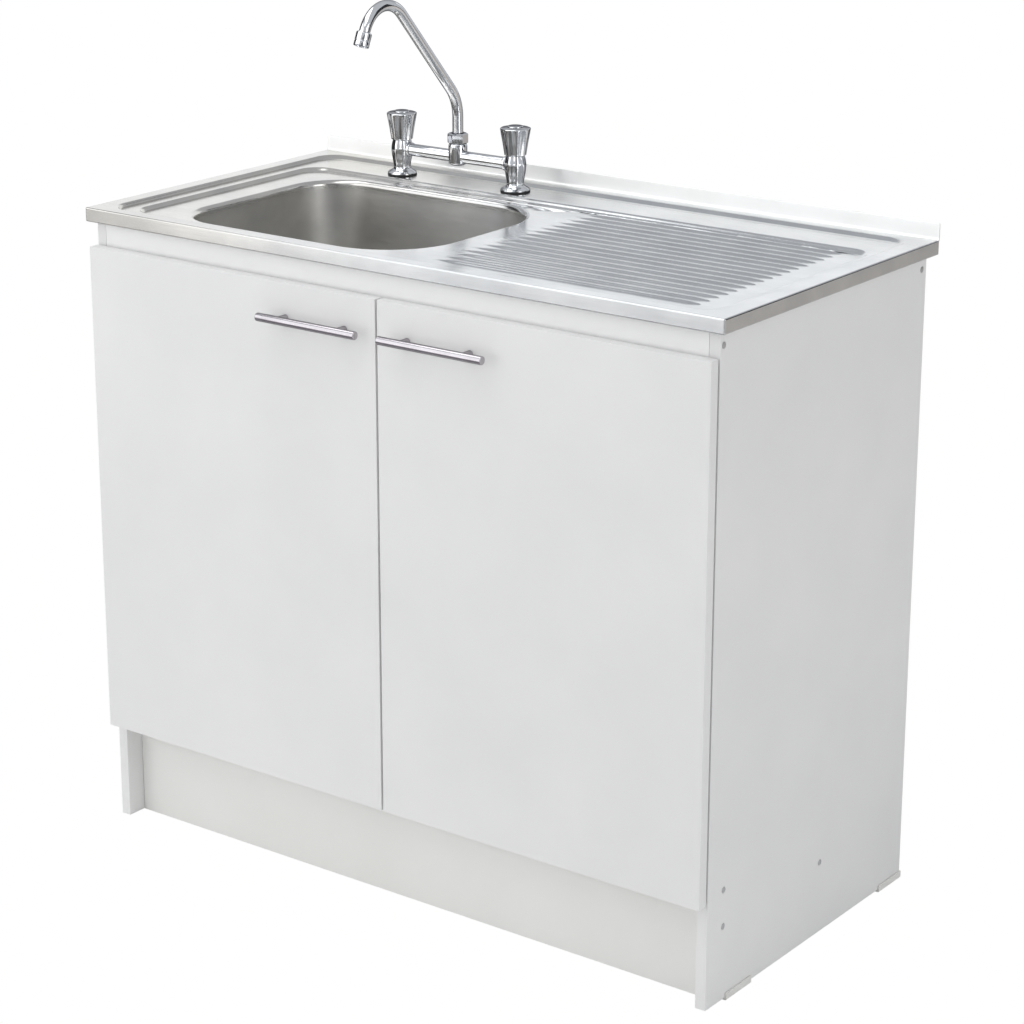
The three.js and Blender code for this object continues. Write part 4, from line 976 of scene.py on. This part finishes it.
def tube_along(bm, points, radius, sides):
    """A closed round tube along points that lie in a plane of constant x."""
    across = Vector((1, 0, 0))
    rings = []
    for i, point in enumerate(points):
        before, after = points[max(i - 1, 0)], points[min(i + 1, len(points) - 1)]
        along = (after - before).normalized()
        turned = Matrix((across, along.cross(across), along)).transposed().to_4x4()
        rings.append(draw_circle(bm, radius, sides, Matrix.Translation(point) @ turned))
    bridge_rings(bm, rings)


bm = bmesh.new()
line = [hub + Vector((0, -reach, height)) for reach, height in spout_path()]
tube_along(bm, line, SPOUT_RADIUS, 36)
piece = finish_mesh("spout_pipe", bm, chrome, ["spout_tube"], "spout")

bm = bmesh.new()
tip_direction = (line[-1] - line[-2]).normalized()
tip_place = Matrix.Translation(line[-1]) @ Vector((0, 0, 1)).rotation_difference(
    tip_direction).to_matrix().to_4x4()
spin_profile(bm, rounded(millimetres(AERATOR)), 48, tip_place)
piece = finish_mesh("aerator_housing", bm, chrome, ["aerator"], "spout")

# %% [markdown]
# ## The handles
# Each door has a round bar on two short posts. A bar is a plain cylinder, so a spun profile with
# softened ends is all it takes. The bar is a little thinner and closer to the door than in the
# CAD, to match the photograph.

# %% Handles
HANDLE_X, HANDLE_Z = 0.098, 0.780
BAR_Y, DOOR_FRONT_Y = -0.0255 + FRONT_EDGE_Y, -0.007 + FRONT_EDGE_Y
POST_SPACING, POST_SUNK = 0.048, 0.3 * MM
BAR = [(0, -80), (5.4, -80), (5.4, 80), (0, 80)]
POST = [(0, 0), (4.2, 0), (4.2, 18), (0, 18)]
toward_front = Matrix.Rotation(math.pi / 2, 4, "X")

for side, side_name in ((-1, "left"), (1, "right")):
    bm = bmesh.new()
    centre = Vector((side * HANDLE_X, BAR_Y, HANDLE_Z))
    spin_profile(bm, rounded(millimetres(BAR), 0.8 * MM, 4), 40,
                 Matrix.Translation(centre) @ along_x)
    for post in (-1, 1):
        foot = Vector((centre.x + post * POST_SPACING, DOOR_FRONT_Y - POST_SUNK, HANDLE_Z))
        spin_profile(bm, rounded(millimetres(POST)), 32,
                     Matrix.Translation(foot) @ toward_front)
    piece = finish_mesh(f"{side_name}_handle", bm, satin, [f"{side_name}_bar_handle"],
                        f"{side_name}_door")

# %% [markdown]
# ## The waste
# The waste is a turned flange that sits in the bowl's floor, with two crossed bars as a strainer.
# Its profile is a closed ring that stays clear of the axis, so the spin leaves the bore open.

# %% Waste flange
WASTE_PROFILE = [
    (19, -58), (22.5, -58), (22.5, 0.3), (35, 0.3), (34.2, 2.3), (21.5, 2.3), (19, -0.7)]
STRAINER_BAR, STRAINER_Z = (0.040, 0.003, 0.003, 1), -0.0065

bm = bmesh.new()
waste_place = Matrix.Translation((WASTE_X, WASTE_Y, BOWL_BOTTOM_Z))
spin_profile(bm, rounded(millimetres(WASTE_PROFILE), 0.5 * MM), 64, waste_place, closed=True)
for degrees in (0, 90):
    turned = waste_place @ Matrix.Rotation(math.radians(degrees), 4, "Z")
    bmesh.ops.create_cube(bm, size=1, matrix=turned @ Matrix.Translation((0, 0, STRAINER_Z))
                          @ Matrix.Diagonal(STRAINER_BAR))
piece = finish_mesh("waste_grid", bm, waste_steel, ["waste_flange"], "cabinet")

# %% [markdown]
# ## The floor
# The photograph has a white background with no visible floor. The floor here is pale and catches
# and returns light, while the camera itself sees plain white, by a Light Path switch.

# %% Floor
STUDIO_FLOOR_Z = -0.0002


def plane(name, size, matrix, material):
    bm = bmesh.new()
    bmesh.ops.create_grid(bm, x_segments=1, y_segments=1, size=0.5,
                          matrix=matrix @ Matrix.Diagonal((size[0], size[1], 1, 1)))
    mesh = bpy.data.meshes.new(name)
    bm.to_mesh(mesh)
    bm.free()
    mesh.materials.append(material)
    card = bpy.data.objects.new(name, mesh)
    scene.collection.objects.link(card)
    return card


floor_material = bpy.data.materials.new("studio_floor")
floor_material.use_nodes = True
tree = floor_material.node_tree
tree.nodes.clear()
diffuse = tree.nodes.new("ShaderNodeBsdfDiffuse")
diffuse.inputs["Color"].default_value = (0.90, 0.90, 0.89, 1)
white = tree.nodes.new("ShaderNodeEmission")
mix = tree.nodes.new("ShaderNodeMixShader")
path = tree.nodes.new("ShaderNodeLightPath")
output = tree.nodes.new("ShaderNodeOutputMaterial")
tree.links.new(path.outputs["Is Camera Ray"], mix.inputs[0])
tree.links.new(diffuse.outputs[0], mix.inputs[1])
tree.links.new(white.outputs[0], mix.inputs[2])
tree.links.new(mix.outputs[0], output.inputs["Surface"])
plane("floor", (14, 14), Matrix.Translation((0, 0, STUDIO_FLOOR_Z)), floor_material)
print("floor laid")

# %% [markdown]
# ## The surround
# One soft white surround lights the scene from all sides. Mirrors see a brighter version of it
# than matt surfaces do, and the camera sees pure white. Three Background shaders and two Light
# Path switches do this.


# %% Surround
world = bpy.data.worlds.new("studio")
scene.world = world
world.use_nodes = True
tree = world.node_tree
tree.nodes.clear()
surround = tree.nodes.new("ShaderNodeBackground")
surround.inputs["Color"].default_value = (0.97, 0.98, 1.0, 1)
surround.inputs["Strength"].default_value = 0.42
mirrored = tree.nodes.new("ShaderNodeBackground")
mirrored.inputs["Color"].default_value = (0.93, 0.96, 1.0, 1)
mirrored.inputs["Strength"].default_value = 0.58
seen = tree.nodes.new("ShaderNodeBackground")
seen.inputs["Color"].default_value = (1, 1, 1, 1)
mix = tree.nodes.new("ShaderNodeMixShader")
path = tree.nodes.new("ShaderNodeLightPath")
indirect = tree.nodes.new("ShaderNodeMixShader")
output = tree.nodes.new("ShaderNodeOutputWorld")
tree.links.new(path.outputs["Is Glossy Ray"], indirect.inputs[0])
tree.links.new(surround.outputs[0], indirect.inputs[1])
tree.links.new(mirrored.outputs[0], indirect.inputs[2])
tree.links.new(path.outputs["Is Camera Ray"], mix.inputs[0])
tree.links.new(indirect.outputs[0], mix.inputs[1])
tree.links.new(seen.outputs[0], mix.inputs[2])
tree.links.new(mix.outputs[0], output.inputs["Surface"])
print("surround strengths", surround.inputs["Strength"].default_value,
      mirrored.inputs["Strength"].default_value)

# %% [markdown]
# ## The lamps
# Large area lamps give soft shadows. The key lamp stands at the front left, a low one lights the
# lip and the plinth, and lamps above, at the side and behind shape the deck and the side panel.

# %% Lamps
def lamp(name, location, target, size, watts):
    data = bpy.data.lights.new(name, "AREA")
    data.shape = "RECTANGLE"
    data.size, data.size_y = size
    data.energy = watts
    light = bpy.data.objects.new(name, data)
    scene.collection.objects.link(light)
    light.location = location
    light.rotation_euler = (Vector(target) - Vector(location)).to_track_quat("-Z", "Y").to_euler()


lamp("key", (-1.8, -2.9, 2.1), (0, 0, 0.6), (4.2, 3.0), 44)
lamp("low", (-1.3, -3.3, 0.45), (0, 0, 0.75), (3.2, 0.7), 9.5)
lamp("top", (-0.6, -0.7, 3.1), (-0.1, 0, 0.8), (3.4, 1.2), 26)
lamp("side", (3.2, -0.6, 1.4), (0, 0, 0.5), (1.4, 2.2), 23)
lamp("back", (-1.35, 3.3, 1.7), (0, 0, 0.9), (4.3, 1.7), 13.5)
print(len(bpy.data.lights), "lamps")

# %% [markdown]
# ## Cards for the metal to mirror
# Polished metal looks like what stands around it. Photographers place cards for it, and so does
# this cell: dark ones for contrast, grey and warm ones for calmer areas, and a bright one whose
# glow fades along X. Only glossy rays see them, so they cast no shade and are not in the picture.

# %% Cards
CARD_ROUGHNESS = 0.9


def card_material(name, colour, glow=0.0):
    material = bpy.data.materials.new(name)
    material.use_nodes = True
    shader = material.node_tree.nodes["Principled BSDF"]
    shader.inputs["Base Color"].default_value = (*colour, 1)
    shader.inputs["Roughness"].default_value = CARD_ROUGHNESS
    shader.inputs["Emission Color"].default_value = (*colour, 1)
    shader.inputs["Emission Strength"].default_value = glow
    return material


def fading_glow(material, start, end, first, last):
    """Lets a card's glow change along X."""
    tree = material.node_tree
    glow = remap(tree, place_mask(tree, "X", start, end), first, last, 0, 1)
    tree.links.new(glow, tree.nodes["Principled BSDF"].inputs["Emission Strength"])


dark = card_material("dark_card", (0.03, 0.03, 0.032))
grey = card_material("grey_card", (0.14, 0.14, 0.145), 0.6)
middle = card_material("middle_card", (0.30, 0.29, 0.31))
warm = card_material("warm_card", (0.95, 0.89, 0.83), 0.05)
bright = card_material("bright_card", (0.78, 0.78, 0.78))
fading_glow(bright, -3.2, -2.0, 0.25, 0.0)
upright = Matrix.Rotation(math.pi / 2, 4, "X")
cards = (
    ("card_left", dark, (1.5, 2.6), Matrix.Translation((-2.6, -0.3, 1.5))
     @ Matrix.Rotation(math.radians(80), 4, "Z") @ upright),
    ("card_right", grey, (2.4, 2.0), Matrix.Translation((2.5, -2.4, 1.8))
     @ Matrix.Rotation(math.radians(45), 4, "Z") @ upright),
    ("card_behind", dark, (1.4, 2.2), Matrix.Translation((2.2, 2.0, 1.6))
     @ Matrix.Rotation(math.radians(-45), 4, "Z") @ upright),
    ("card_front", bright, (3.8, 2.4), Matrix.Translation((-2.3, -3.3, 0.01))),
    ("card_near", middle, (3.4, 1.6), Matrix.Translation((-0.7, -1.2, 0.01))),
    ("card_floor", warm, (3.4, 3.8), Matrix.Translation((2.7, 2.7, 0.01))),
)
for name, material, size, matrix in cards:
    card = plane(name, size, matrix, material)
    card.visible_camera = False
    card.visible_shadow = False
    card.visible_diffuse = False
print(len(cards), "cards")

# %% [markdown]
# ## View settings
# The Standard view shows colours as they are lit. Depth of field stays off, so that every view
# is sharp.

# %% View settings
scene.view_settings.view_transform = "Standard"
scene.view_settings.look = "None"
camera_data.dof.use_dof = False
print("view transform", scene.view_settings.view_transform)
